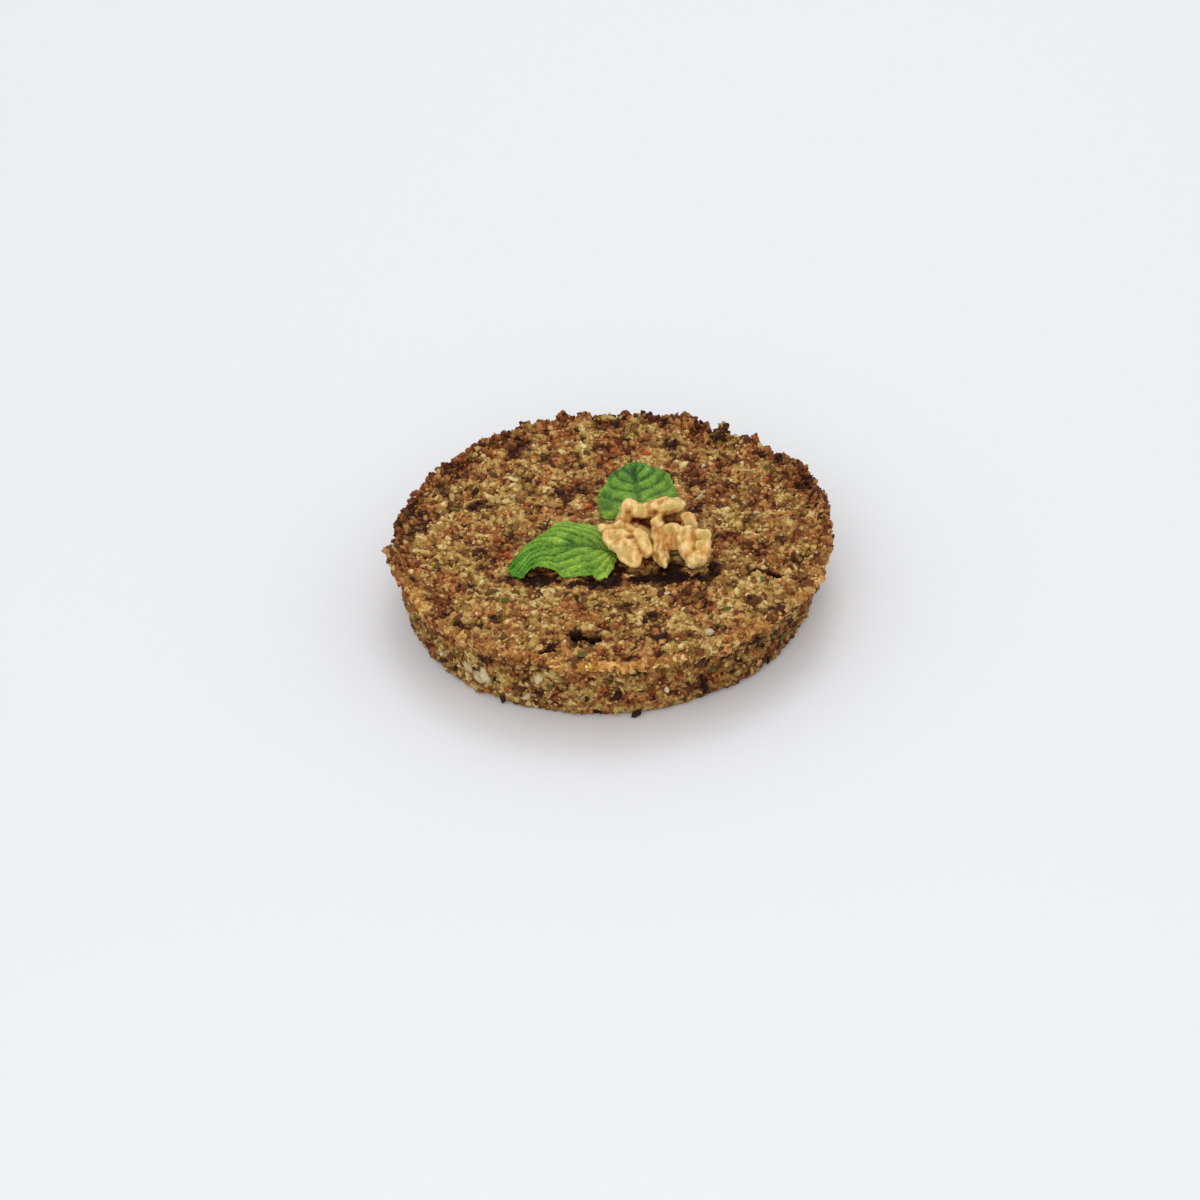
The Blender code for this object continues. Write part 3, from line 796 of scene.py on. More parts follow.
def scatterTree():
    tree = bpy.data.node_groups.new("scatterCrumbs", "GeometryNodeTree")
    face = tree.interface
    face.new_socket("Surface", in_out="INPUT", socket_type="NodeSocketGeometry")
    for label, kind, value in (
        ("Per Square Metre", "Float", 1e5),
        ("Least Gap", "Float", 0.0),
        ("Smallest", "Float", 0.001),
        ("Largest", "Float", 0.002),
        ("Sink", "Float", 0.2),
        ("Tilt", "Float", 0.6),
        ("Seed", "Int", 1),
        ("Shapes", "Collection", None),
        ("Coat", "Material", None),
    ):
        socket = face.new_socket(label, in_out="INPUT", socket_type="NodeSocket" + kind)
        if value is not None:
            socket.default_value = value
    face.new_socket("Crumbs", in_out="OUTPUT", socket_type="NodeSocketGeometry")
    given = tree.nodes.new("NodeGroupInput").outputs
    share = addNode(tree, "GeometryNodeInputNamedAttribute", {"Name": "share"}, data_type="FLOAT")
    lay = {
        "Mesh": given["Surface"],
        "Distance Min": given["Least Gap"],
        "Density Max": given["Per Square Metre"],
        "Density Factor": share.outputs["Attribute"],
        "Seed": given["Seed"],
    }
    points = addNode(tree, "GeometryNodeDistributePointsOnFaces", lay, distribute_method="POISSON").outputs
    upright = addNode(tree, "FunctionNodeAlignRotationToVector", {"Vector": points["Normal"]}, axis="Z")
    lowTurn = addNode(tree, "ShaderNodeCombineXYZ", {"Z": -3.1416})
    highTurn = addNode(tree, "ShaderNodeCombineXYZ", {"Z": 3.1416})
    below = addProduct(tree, given["Tilt"], -1.0)
    for socket in ("X", "Y"):
        tree.links.new(below, lowTurn.inputs[socket])
        tree.links.new(given["Tilt"], highTurn.inputs[socket])
    turns = {"Min": lowTurn.outputs[0], "Max": highTurn.outputs[0], "Seed": scatterSeeds["turn"]}
    turn = addNode(tree, "FunctionNodeRandomValue", turns, data_type="FLOAT_VECTOR")
    spin = addNode(tree, "FunctionNodeEulerToRotation", {"Euler": turn.outputs["Value"]})
    turned = {"Rotation": upright.outputs["Rotation"], "Rotate By": spin.outputs["Rotation"]}
    rotation = addNode(tree, "FunctionNodeRotateRotation", turned, rotation_space="LOCAL").outputs["Rotation"]
    size = addNode(tree, "FunctionNodeRandomValue", {"Seed": scatterSeeds["size"]}, data_type="FLOAT")
    tree.links.new(given["Smallest"], size.inputs[2])
    tree.links.new(given["Largest"], size.inputs[3])
    drop = addNode(tree, "ShaderNodeVectorMath", {0: points["Normal"]}, operation="SCALE")
    depth = addProduct(tree, addProduct(tree, size.outputs[1], given["Sink"]), -1.0)
    tree.links.new(depth, drop.inputs["Scale"])
    sunk = addNode(tree, "GeometryNodeSetPosition", {"Geometry": points["Points"], "Offset": drop.outputs[0]})
    kinds = {"Collection": given["Shapes"], "Separate Children": True, "Reset Children": True}
    shapes = addNode(tree, "GeometryNodeCollectionInfo", kinds)
    pick = addNode(tree, "FunctionNodeRandomValue", {"Seed": scatterSeeds["shape"]}, data_type="INT")
    pick.inputs[4].default_value = 0
    pick.inputs[5].default_value = 7
    copied = {
        "Points": sunk.outputs[0],
        "Instance": shapes.outputs[0],
        "Pick Instance": True,
        "Instance Index": pick.outputs[2],
        "Rotation": rotation,
        "Scale": size.outputs[1],
    }
    made = addNode(tree, "GeometryNodeInstanceOnPoints", copied).outputs[0]
    # each crumb's own chance numbers, for its colour
    for label in ("tone", "hue"):
        chance = addNode(tree, "FunctionNodeRandomValue", {"Seed": scatterSeeds[label]}, data_type="FLOAT")
        named = {"Geometry": made, "Name": label}
        stored = addNode(tree, "GeometryNodeStoreNamedAttribute", named, data_type="FLOAT", domain="INSTANCE")
        tree.links.new(chance.outputs[1], stored.inputs["Value"])
        made = stored.outputs[0]
    plain = addNode(tree, "GeometryNodeRealizeInstances", {"Geometry": made})
    coated = addNode(tree, "GeometryNodeSetMaterial", {"Geometry": plain.outputs[0], "Material": given["Coat"]})
    out = tree.nodes.new("NodeGroupOutput")
    tree.links.new(coated.outputs[0], out.inputs[0])
    return tree


crumbTree = scatterTree()


def triangles(piece):
    return sum(len(face.vertices) - 2 for face in piece.data.polygons)


# scatters one kind of crumb over the core; share gives how thickly it lies at each of the core's points
def scatter(name, share, values):
    ground = asObject(name + "Ground", core.data.copy())
    storeFloats(ground, "share", [share(v.co, skin) for v, skin in zip(core.data.vertices, skins)])
    modifier = ground.modifiers.new("scatter", "NODES")
    modifier.node_group = crumbTree
    for socket in crumbTree.interface.items_tree:
        if socket.in_out == "INPUT" and socket.name in values:
            modifier[socket.identifier] = values[socket.name]
    graph = bpy.context.evaluated_depsgraph_get()
    data = bpy.data.meshes.new_from_object(ground.evaluated_get(graph))
    bpy.data.objects.remove(ground)
    piece = asObject(name, data, values["Coat"])
    shadeSmooth(piece)
    print(name, triangles(piece), "triangles")
    return piece


def removeKinds(box):
    for shape in list(box.objects):
        bpy.data.objects.remove(shape)
    bpy.data.collections.remove(box)


crumbFinish = {
    "roughness": 0.65,
    "shine": 0.18,
    "fine": 1900.0,
    "fineTone": 0.35,
    "mixedRed": 0.9,
}


# a kind of crumb: its tones run from low to high, and its redness leans by a shift
def crumbCoat(name, low, high, lean):
    coat, tree, shader = newMaterial(name, crumbFinish["roughness"], crumbFinish["shine"])
    fine = addNoise(tree, coordinates(tree), crumbFinish["fine"], 2.0)
    tone = addMath(tree, "ADD", addProduct(tree, attribute(tree, "tone"), high - low), low)
    tone = addMath(tree, "ADD", tone, addLean(tree, fine, 0.5, crumbFinish["fineTone"]), clamp=True)
    own = addLean(tree, attribute(tree, "hue"), 0.5 - lean, crumbFinish["mixedRed"])
    redness = addMath(tree, "ADD", attribute(tree, "redness"), own, clamp=True)
    tree.links.new(bakedColour(tree, tone, redness), shader.inputs["Base Color"])
    addBump(tree, shader, fine, 0.35, 0.4 * mm)
    return coat


# where the crumbs lie thinly, as the garnish is over them: middle x, y, half width, half depth, in mm, and its edge
covered = (
    (11.0, -6.0, 1.0, 1.0 / 1.05, (13.0, 11.0)),
    (-13.0, -7.5, 12.5, 9.5, (1.1, 0.9)),
    (7.0, 19.0, 8.5, 10.5, (1.1, 0.9)),
)


# 1 where crumbs may lie: not under the base or deep in a crack, and thinly where the garnish lies
def crumbGround(place, skin):
    x, y = place.x / mm, place.y / mm
    garnish = 0.0
    for middleX, middleY, wide, deep, (edge, inside) in covered:
        garnish = max(garnish, smoothStep(edge, inside, math.hypot((x - middleX) / wide, (y - middleY) / deep)))
    onTop = smoothStep(1.02, 0.98, skin)
    crack = onTop * smoothStep(0.9 * mm, 2.0 * mm, crackDepth(place.x, place.y))
    return smoothStep(1.985, 1.95, skin) * (1.0 - 0.9 * garnish * onTop) * (1.0 - crack)


# crumbs in drifts: their least share, and the drifts' size and shift
def drifts(least, size, shift):
    def share(place, skin):
        drift = patchShare(place, size, -0.25, 0.35, shift)
        return crumbGround(place, skin) * (least + (1.0 - least) * drift)

    return share


# crumbs along the rim, fewer of them at the front
def alongRim(place, skin):
    return band((0.955, 0.985, 1.06, 1.16), skin) * (0.25 + 0.75 * smoothStep(-30.0 * mm, 0.0, place.y))


# tones: lowest, highest, lean to red
crumbs = {
    "bulgurGrains": {
        "kind": "bulgur",
        "tones": (0.40, 0.88, -0.25),
        "share": drifts(0.40, 6.0 * mm, 2.0),
        "Per Square Metre": 1.7e5,
        "Least Gap": 1.2 * mm,
        "Smallest": 2.0 * mm,
        "Largest": 3.6 * mm,
        "Sink": 0.16,
        "Tilt": 0.7,
        "Seed": 3,
    },
    "meatCrumbs": {
        "kind": "meat",
        "tones": (0.08, 0.66, 0.30),
        "share": drifts(0.30, 5.0 * mm, 7.0),
        "Per Square Metre": 1.4e5,
        "Least Gap": 1.3 * mm,
        "Smallest": 2.0 * mm,
        "Largest": 3.8 * mm,
        "Sink": 0.20,
        "Tilt": 0.9,
        "Seed": 5,
    },
    "fineSpecks": {
        "kind": "speck",
        "tones": (0.18, 0.92, 0.0),
        "share": crumbGround,
        "Per Square Metre": 5.0e5,
        "Least Gap": 0.65 * mm,
        "Smallest": 0.9 * mm,
        "Largest": 1.9 * mm,
        "Sink": 0.05,
        "Tilt": 1.2,
        "Seed": 8,
    },
    "rimCrumbs": {
        "kind": "meat",
        "tones": (0.05, 0.75, 0.15),
        "share": alongRim,
        "Per Square Metre": 1.2e6,
        "Least Gap": 0.7 * mm,
        "Smallest": 1.1 * mm,
        "Largest": 2.6 * mm,
        "Sink": -0.02,
        "Tilt": 1.4,
        "Seed": 9,
    },
}

for number, (name, crumbKind) in enumerate(crumbs.items()):
    kind = crumbKind["kind"]
    shapes = makeKinds(kind + "Shape", grainKinds[kind], number)
    coat = crumbCoat(name + "Coat", *crumbKind["tones"])
    piece = scatter(name, crumbKind["share"], {**crumbKind, "Shapes": shapes, "Coat": coat})
    removeKinds(shapes)
    finishPiece(piece)
print("crumbs scattered")


# the crisp ledge that the tin's edge left along the front of the rim
ledge = {
    "from": 172.0,  # bearings in degrees
    "to": 352.0,
    "steps": 900,
    "sides": 12,
    "halfWidth": 0.85 * mm,
    "halfHeight": 0.45 * mm,
    "down": 0.15 * mm,
    "dive": 1.3 * mm,  # how far in and down it goes where it is gone
    "fade": (0.08, 0.95),  # shares of its length
    "wave": (4.5 * mm, 0.9 * mm),  # size, height
    "gaps": (4.5 * mm, -0.2, 0.05),  # size, noise where it is gone, noise where it is whole
    "crumble": (1.1 * mm, 0.55 * mm),
    "tones": ((0.2, (128, 70, 26)), (0.42, (180, 122, 52)), (0.65, (212, 162, 84)), (0.95, (238, 204, 132))),
    "roughness": 0.5,
    "shine": 0.25,
}


def ledgeMiddle(bearing):
    outwards, upwards = rimOffsets(bearing)
    radius = cake["rimRadius"] + outwards
    x, y = radius * math.cos(bearing), radius * math.sin(bearing)
    return Vector((x, y, topHeight(x, y) + upwards - ledge["down"]))


def makeLedge():
    mesh = bmesh.new()
    rings = []
    waveSize, wave = ledge["wave"]
    gapSize, gone, whole = ledge["gaps"]
    crumbleSize, crumble = ledge["crumble"]
    fadeIn, fadeOut = ledge["fade"]
    for step in range(ledge["steps"] + 1):
        share = step / ledge["steps"]
        bearing = math.radians(ledge["from"] + (ledge["to"] - ledge["from"]) * share)
        middle = ledgeMiddle(bearing)
        outward = Vector((math.cos(bearing), math.sin(bearing), 0.0))
        present = smoothStep(gone, whole, patchNoise(middle, gapSize, 90.0))
        present *= smoothStep(0.0, fadeIn, share) * ledgeShare(middle) * smoothStep(1.0, fadeOut, share)
        dive = (zAxis + outward) * ledge["dive"] * (1.0 - present)
        middle += zAxis * wave * patchNoise(middle, waveSize, 95.0) - dive
        ring = []
        for side in range(ledge["sides"]):
            turn = math.tau * side / ledge["sides"]
            flat = outward * math.cos(turn) * ledge["halfWidth"]
            flat += zAxis * math.sin(turn) * ledge["halfHeight"]
            place = middle + flat * (0.25 + 0.75 * present)
            place += flat.normalized() * crumble * patchNoise(place, crumbleSize, 97.0)
            ring.append(mesh.verts.new(place))
        rings.append(ring)
    for first, second in zip(rings, rings[1:]):
        for a, b, c, d in zip(first, first[1:] + first[:1], second[1:] + second[:1], second):
            mesh.faces.new((a, b, c, d))
    mesh.faces.new(rings[0][::-1])
    mesh.faces.new(rings[-1])
    bmesh.ops.recalc_face_normals(mesh, faces=mesh.faces)
    piece = asObject("crispLedge", mesh)
    shadeSmooth(piece)
    return piece


def ledgeCoat():
    coat, tree, shader = newMaterial("crispLedge", ledge["roughness"], ledge["shine"])
    place = coordinates(tree)
    patches = addRange(tree, addNoise(tree, place, 260.0, 2.0), 0.30, 0.70)
    fine = addNoise(tree, place, 1100.0, 3.0)
    level = addMath(tree, "ADD", addProduct(tree, patches, 0.7), addProduct(tree, fine, 0.5), clamp=True)
    tree.links.new(addRamp(tree, level, ledge["tones"]), shader.inputs["Base Color"])
    addBump(tree, shader, fine, 0.4, 0.5 * mm)
    return coat


crispLedge = makeLedge()
crispLedge.data.materials.append(ledgeCoat())
finishPiece(crispLedge)
print("ledge made")


# bits of onion, herb and pepper, and burnt ones, that show in the mixture
# on the top: x, y in mm; on the wall: bearing in degrees, height in mm; then the bit's length in mm
bits = {
    "onionBits": {
        "top": (
            (23.5, 15.8, 2.6), (25.1, 30.4, 1.8), (-10.8, 44.2, 1.6), (23.1, -44.2, 2.0), (20.4, -12.5, 1.5),
            (13.0, -26.3, 1.8), (32.2, 15.0, 1.8), (-33.2, 39.9, 1.6), (-25.4, 20.4, 1.8), (-15.7, -23.7, 1.6),
            (37.8, 6.8, 1.6), (24.6, 17.6, 1.6),
        ),
        "wall": (
            (227.6, 8.6, 3.2), (230.4, 6.2, 3.6), (233.6, 8.6, 3.8), (245.0, 3.8, 2.6), (248.8, 11.5, 3.2),
            (283.0, 8.0, 1.5), (216.0, 6.5, 1.8), (96.0, 8.0, 2.4), (140.0, 6.0, 2.2), (30.0, 9.0, 2.4),
        ),
        "flat": 0.45,
        "colour": ((166, 148, 106), (220, 206, 168)),
        "roughness": 0.5,
    },
    "herbFlecks": {
        "top": (
            (-45.4, -9.4, 2.0), (-27.9, -26.9, 2.2), (-9.1, -50.4, 2.2), (27.7, -34.8, 2.2), (37.6, -24.2, 1.8),
            (-19.0, -20.5, 1.8), (-30.5, 31.0, 1.8), (5.5, 47.0, 1.6), (41.5, 27.0, 1.8), (-40.0, 14.0, 1.6),
            (-2.0, -37.5, 1.6), (14.0, -47.0, 1.6), (46.0, 8.0, 1.6),
        ),
        "wall": (
            (252.0, 9.0, 1.8), (317.1, 10.4, 1.8), (296.0, 10.5, 1.8), (223.0, 11.0, 2.0), (200.0, 8.0, 1.8),
            (322.0, 7.0, 1.8), (60.0, 9.0, 2.0), (118.0, 7.0, 1.8),
        ),
        "flat": 0.28,
        "colour": ((52, 58, 20), (104, 106, 44)),
        "roughness": 0.6,
    },
    "pepperBits": {
        "top": (
            (-27.3, -5.2, 2.4), (10.3, 36.6, 2.2), (27.4, -48.7, 1.8), (-23.6, -48.4, 1.6), (41.4, 21.9, 1.6),
            (-5.4, 13.9, 1.8), (-36.8, 4.7, 1.6), (1.5, 39.0, 1.6), (-26.4, -7.2, 1.6), (-14.0, 36.0, 1.4),
        ),
        "wall": ((266.0, 10.0, 1.6), (240.0, 6.0, 1.6), (310.0, 9.0, 1.6), (158.0, 8.0, 1.6)),
        "flat": 0.5,
        "colour": ((136, 46, 20), (198, 92, 48)),
        "roughness": 0.45,
    },
    "burntBits": {
        "top": (
            (16.7, 41.6, 2.4), (-22.9, 43.7, 1.8), (29.8, 43.5, 2.2), (-40.2, -35.1, 1.6), (45.8, -15.5, 1.8),
            (-51.7, -14.7, 1.8), (2.7, -31.1, 1.6), (33.9, -30.3, 1.4), (-34.1, 18.1, 1.6), (-8.0, 49.5, 1.8),
            (41.0, 33.0, 1.8),
        ),
        "wall": (
            (275.6, 0.9, 2.8), (318.0, 1.6, 1.6), (238.0, 1.0, 1.8), (262.0, 6.5, 1.8), (289.0, 8.0, 1.6),
            (222.0, 5.0, 1.8), (305.0, 9.0, 1.6), (80.0, 6.0, 2.0), (170.0, 7.0, 1.8),
        ),
        "flat": 0.6,
        "colour": ((26, 14, 8), (64, 36, 20)),
        "roughness": 0.6,
    },
}
bitForm = {
    "narrowest": 0.5,  # width for a length of 1
    "widest": 0.8,
    "tilt": 0.3,  # radians
    "lump": (1.4, 0.55),  # scale, strength
    "fineLump": (4.0, 0.2),
    "overTop": 0.5 * mm,
    "overWall": 0.7 * mm,
    "shine": 0.1,
    "firstSeed": 31,
}


# a bit's middle, the way out of the skin there, and its length
def skinPlace(entry, onWall):
    first, second, length = entry
    if onWall:
        bearing = math.radians(first)
        place = wallPoint(bearing, second * mm / cake["height"])
        outward = Vector((math.cos(bearing), math.sin(bearing), 0.12)).normalized()
        return place + outward * bitForm["overWall"], outward, length * mm
    x, y = first * mm, second * mm
    return Vector((x, y, topHeight(x, y) + bitForm["overTop"])), zAxis, length * mm


def bitCoat(name, kind):
    coat, tree, shader = newMaterial(name, kind["roughness"], bitForm["shine"])
    fine = addNoise(tree, coordinates(tree), 1200.0, 2.0)
    own = addProduct(tree, attribute(tree, "tone"), 0.5)
    level = addMath(tree, "ADD", own, addProduct(tree, fine, 0.5), clamp=True)
    tree.links.new(addMix(tree, level, *kind["colour"]), shader.inputs["Base Color"])
    return coat


def makeBits(name, kind, seed):
    draw = random.Random(seed)
    mesh = bmesh.new()
    toneLayer = mesh.verts.layers.float.new("tone")
    (lumpScale, lump), (fineScale, fineLump) = bitForm["lump"], bitForm["fineLump"]
    entries = [(entry, False) for entry in kind["top"]] + [(entry, True) for entry in kind["wall"]]
    for entry, onWall in entries:
        place, normal, length = skinPlace(entry, onWall)
        width = length * draw.uniform(bitForm["narrowest"], bitForm["widest"])
        size = Vector((length, width, length * kind["flat"])) / 2.0
        turn = normal.to_track_quat("Z", "Y") @ Quaternion(zAxis, draw.uniform(0.0, math.tau))
        turn = turn @ Quaternion(xAxis, draw.uniform(-bitForm["tilt"], bitForm["tilt"]))
        shift = Vector((draw.uniform(0.0, 50.0), 0.0, 0.0))
        tone = draw.random()
        made = bmesh.ops.create_icosphere(mesh, subdivisions=3, radius=1.0)["verts"]
        for vertex in made:
            push = 1.0 + lump * noise.noise(vertex.co * lumpScale + shift)
            push += fineLump * noise.noise(vertex.co * fineScale + shift)
            vertex.co = place + turn @ Vector([c * s for c, s in zip(vertex.co * push, size)])
            vertex[toneLayer] = tone
    piece = asObject(name, mesh)
    shadeSmooth(piece)
    piece.data.materials.append(bitCoat(name + "Coat", kind))
    return piece


for number, (name, kind) in enumerate(bits.items()):
    finishPiece(makeBits(name, kind, bitForm["firstSeed"] + number))
print("bits set in")


# mint leaves: points of both edges and of the midrib from base to tip, in mm: x, y, and z over the round's level top
leaves = {
    "leftLeaf": {
        "node": "mint_leaf_left",
        "farEdge": (
            (1.4, -6.3, 1.0), (-0.6, 0.2, 1.2), (-3.0, 2.1, 2.0), (-7.7, 2.9, 2.8), (-11.4, 4.1, 2.8),
            (-14.4, 4.2, 2.5), (-16.3, 1.6, 2.4), (-19.5, -2.1, 2.4), (-22.6, -4.9, 2.0), (-24.9, -9.0, 1.6),
            (-26.1, -12.0, 1.2),
        ),
        "midrib": (
            (1.6, -7.6, 1.1), (-1.4, -7.9, 1.3), (-4.0, -8.1, 2.4), (-7.0, -8.2, 3.7), (-12.5, -8.3, 4.2),
            (-18.8, -7.8, 3.8), (-21.7, -8.9, 3.2), (-23.9, -11.0, 2.3), (-27.0, -14.1, 1.0),
        ),
        "nearEdge": (
            (1.4, -9.0, 1.0), (0.4, -13.2, 1.0), (-0.3, -15.9, 1.0), (-1.8, -18.5, 0.9), (-3.9, -19.8, 0.9),
            (-5.7, -18.4, 1.5), (-8.4, -18.0, 1.0), (-11.0, -17.8, 1.0), (-13.2, -17.8, 0.9), (-14.9, -16.2, 1.9),
            (-17.4, -15.8, 3.0), (-20.0, -15.1, 2.7), (-22.1, -15.7, 1.5), (-23.6, -17.4, 0.8), (-24.9, -16.6, 0.8),
            (-26.1, -15.9, 0.9),
        ),
        "veins": 5.5,  # side veins on each side
        "slant": 0.80,  # how far they lean to the tip, in shares of the length
        "arch": 0.9,  # mm
        "tone": 0.58,
    },
    "backLeaf": {
        "node": "mint_leaf_back",
        "farEdge": (
            (6.0, 6.2, 1.0), (1.7, 6.8, 0.9), (-1.4, 7.0, 0.8), (-2.8, 9.9, 0.9), (-3.2, 13.0, 1.0),
            (-3.2, 15.7, 1.1), (-2.9, 18.8, 1.2), (-1.9, 20.7, 1.4), (-0.7, 23.0, 1.5), (0.3, 26.4, 1.6),
            (2.3, 28.0, 1.8), (4.6, 29.8, 2.0),
        ),
        "midrib": (
            (7.2, 5.9, 1.1), (7.5, 8.0, 2.2), (7.7, 10.2, 3.6), (7.0, 15.6, 3.8),
            (6.8, 19.7, 3.4), (6.6, 23.4, 2.9), (6.5, 26.8, 2.4), (6.6, 31.3, 2.0),
        ),
        "nearEdge": (
            (8.6, 6.2, 1.0), (13.0, 9.4, 1.2), (16.6, 13.5, 1.2), (17.6, 16.6, 1.3), (16.9, 19.2, 1.6),
            (16.4, 22.1, 2.0), (15.9, 24.2, 2.2), (13.7, 26.4, 2.2), (11.6, 28.2, 2.0), (8.8, 29.9, 2.0),
        ),
        "veins": 5.5,
        "slant": 0.42,
        "arch": 0.7,
        "tone": 0.45,
    },
}
leafForm = {
    "thickness": 0.5 * mm,
    "teeth": 11.0,
    "toothReach": 0.45 * mm,
    "bulge": 0.6 * mm,
    "grooveWidth": 0.16,  # of a side vein, in shares of their spacing
    "sweep": 1.4,  # how much the side veins curve
    "veinTint": 0.85,
    "grain": (0.9 * mm, 0.12 * mm),
    "puckers": (5.0 * mm, 1.0 * mm, 0.28 * mm),  # along the folds, across them, height
    "ribGroove": 0.6 * mm,
    "ribWidth": 0.9 * mm,
    "fullReach": 7.0 * mm,  # a half of the blade narrower than this is flatter
    "gap": 0.85 * mm,  # clear space over the crumb
    "along": 180,
    "across": 100,
}
leafFinish = {
    "roughness": 0.45,
    "shine": 0.22,
    "patches": (210.0, 0.8),  # scale, strength
    "fine": (1300.0, 0.4),
    "net": (650.0, 0.12),
    "veins": 0.26,
    "level": 0.62,
    "tones": (
        (0.0, (28, 60, 8)),
        (0.2, (60, 100, 16)),
        (0.42, (102, 146, 36)),
        (0.62, (140, 176, 58)),
        (0.85, (190, 212, 108)),
    ),
    "tip": ((168, 226, 190), 0.75),  # colour, strength
    "base": ((196, 204, 96), 0.12),
}


# a smooth curve through the points, at a share of its length
class Curve:
    def __init__(self, points, steps=14):
        knots = [Vector(point) * mm for point in points]
        knots = [knots[0] * 2.0 - knots[1]] + knots + [knots[-1] * 2.0 - knots[-2]]
        self.places = [knots[1]]
        for a, b, c, d in zip(knots, knots[1:], knots[2:], knots[3:]):
            for step in range(1, steps + 1):
                s = step / steps
                bend = b * 2.0 + (c - a) * s + (a * 2.0 - b * 5.0 + c * 4.0 - d) * s * s
                self.places.append((bend + (b * 3.0 - a - c * 3.0 + d) * s * s * s) * 0.5)
        self.lengths = [0.0]
        for a, b in zip(self.places, self.places[1:]):
            self.lengths.append(self.lengths[-1] + (b - a).length)

    def at(self, share):
        wanted = min(1.0, max(0.0, share)) * self.lengths[-1]
        reached = (n for n, length in enumerate(self.lengths) if length >= wanted)
        high = max(1, next(reached, len(self.lengths) - 1))
        low = high - 1
        part = (wanted - self.lengths[low]) / max(1e-9, self.lengths[high] - self.lengths[low])
        return self.places[low].lerp(self.places[high], part)


# where the side vein through a point leaves the midrib, in shares of the length
def veinStart(leaf, t, edge):
    return t - leaf["slant"] * edge ** leafForm["sweep"]


# how deep a point lies in a side vein's groove, 0 to 1
def veinShare(leaf, t, edge):
    phase = leaf["veins"] * veinStart(leaf, t, edge)
    away = abs((phase + 0.5) % 1.0 - 0.5)
    narrow = leafForm["grooveWidth"] * (1.0 + 0.5 * edge)
    return math.exp(-((away / narrow) ** 2)) * smoothStep(1.02, 0.8, edge) * smoothStep(0.0, 0.05, t)


def makeLeaf(name, leaf):
    far, rib, near = Curve(leaf["farEdge"]), Curve(leaf["midrib"]), Curve(leaf["nearEdge"])
    along, across = leafForm["along"], leafForm["across"]
    lengthwise, crosswise, pucker = leafForm["puckers"]
    grainSize, grain = leafForm["grain"]
    mesh = bmesh.new()
    veinLayer = mesh.verts.layers.float.new("vein")
    alongLayer = mesh.verts.layers.float.new("along")
    bmesh.ops.create_grid(mesh, x_segments=along, y_segments=across, size=1.0)
    rows = {}
    for vertex in mesh.verts:
        key = round(vertex.co.x, 5)
        if key not in rows:
            t = (vertex.co.x + 1.0) / 2.0
            rows[key] = (t, far.at(t), rib.at(t), near.at(t))
        t, farPoint, ribPoint, nearPoint = rows[key]
        side = vertex.co.y
        edge = abs(side)
        end = nearPoint if side < 0.0 else farPoint
        reach = end - ribPoint
        tooth = leafForm["toothReach"] * (t * leafForm["teeth"] % 1.0 - 0.5) * smoothStep(0.6, 1.0, edge)
        outward = reach.normalized() if reach.length > 1e-6 else Vector((0.0, 0.0, 0.0))
        place = ribPoint + reach * edge + outward * tooth
        room = min(1.0, reach.length / leafForm["fullReach"])
        vein = veinShare(leaf, t, edge)
        ribCut = math.exp(-((reach.length * edge / leafForm["ribWidth"]) ** 2)) * room
        place.z += leaf["arch"] * mm * math.sin(math.pi * edge) * room
        place.z += leafForm["bulge"] * room * (0.5 - vein) * (4.0 * edge * (1.0 - edge)) ** 0.5
        place.z -= leafForm["ribGroove"] * ribCut
        fold = veinStart(leaf, t, edge) * far.lengths[-1]
        half = 4.0 if side < 0.0 else 0.0
        folded = Vector((fold / crosswise, reach.length * edge / lengthwise, half))
        place.z += pucker * room * noise.noise(folded)
        place.z += grain * noise.noise(place / grainSize)
        place.z += cake["height"]
        place.z = max(place.z, topHeight(place.x, place.y) + leafForm["gap"])
        vertex.co = place
        vertex[veinLayer] = max(vein * leafForm["veinTint"], ribCut)
        vertex[alongLayer] = t
    bmesh.ops.recalc_face_normals(mesh, faces=mesh.faces)
    if sum(face.normal.z for face in mesh.faces) < 0.0:
        bmesh.ops.reverse_faces(mesh, faces=mesh.faces)
    piece = asObject(name, mesh)
    solid = piece.modifiers.new("thickness", "SOLIDIFY")
    solid.thickness = leafForm["thickness"]
    solid.offset = -1.0
    solid.use_even_offset = False
    applyModifiers(piece)
    shadeSmooth(piece)
    return piece


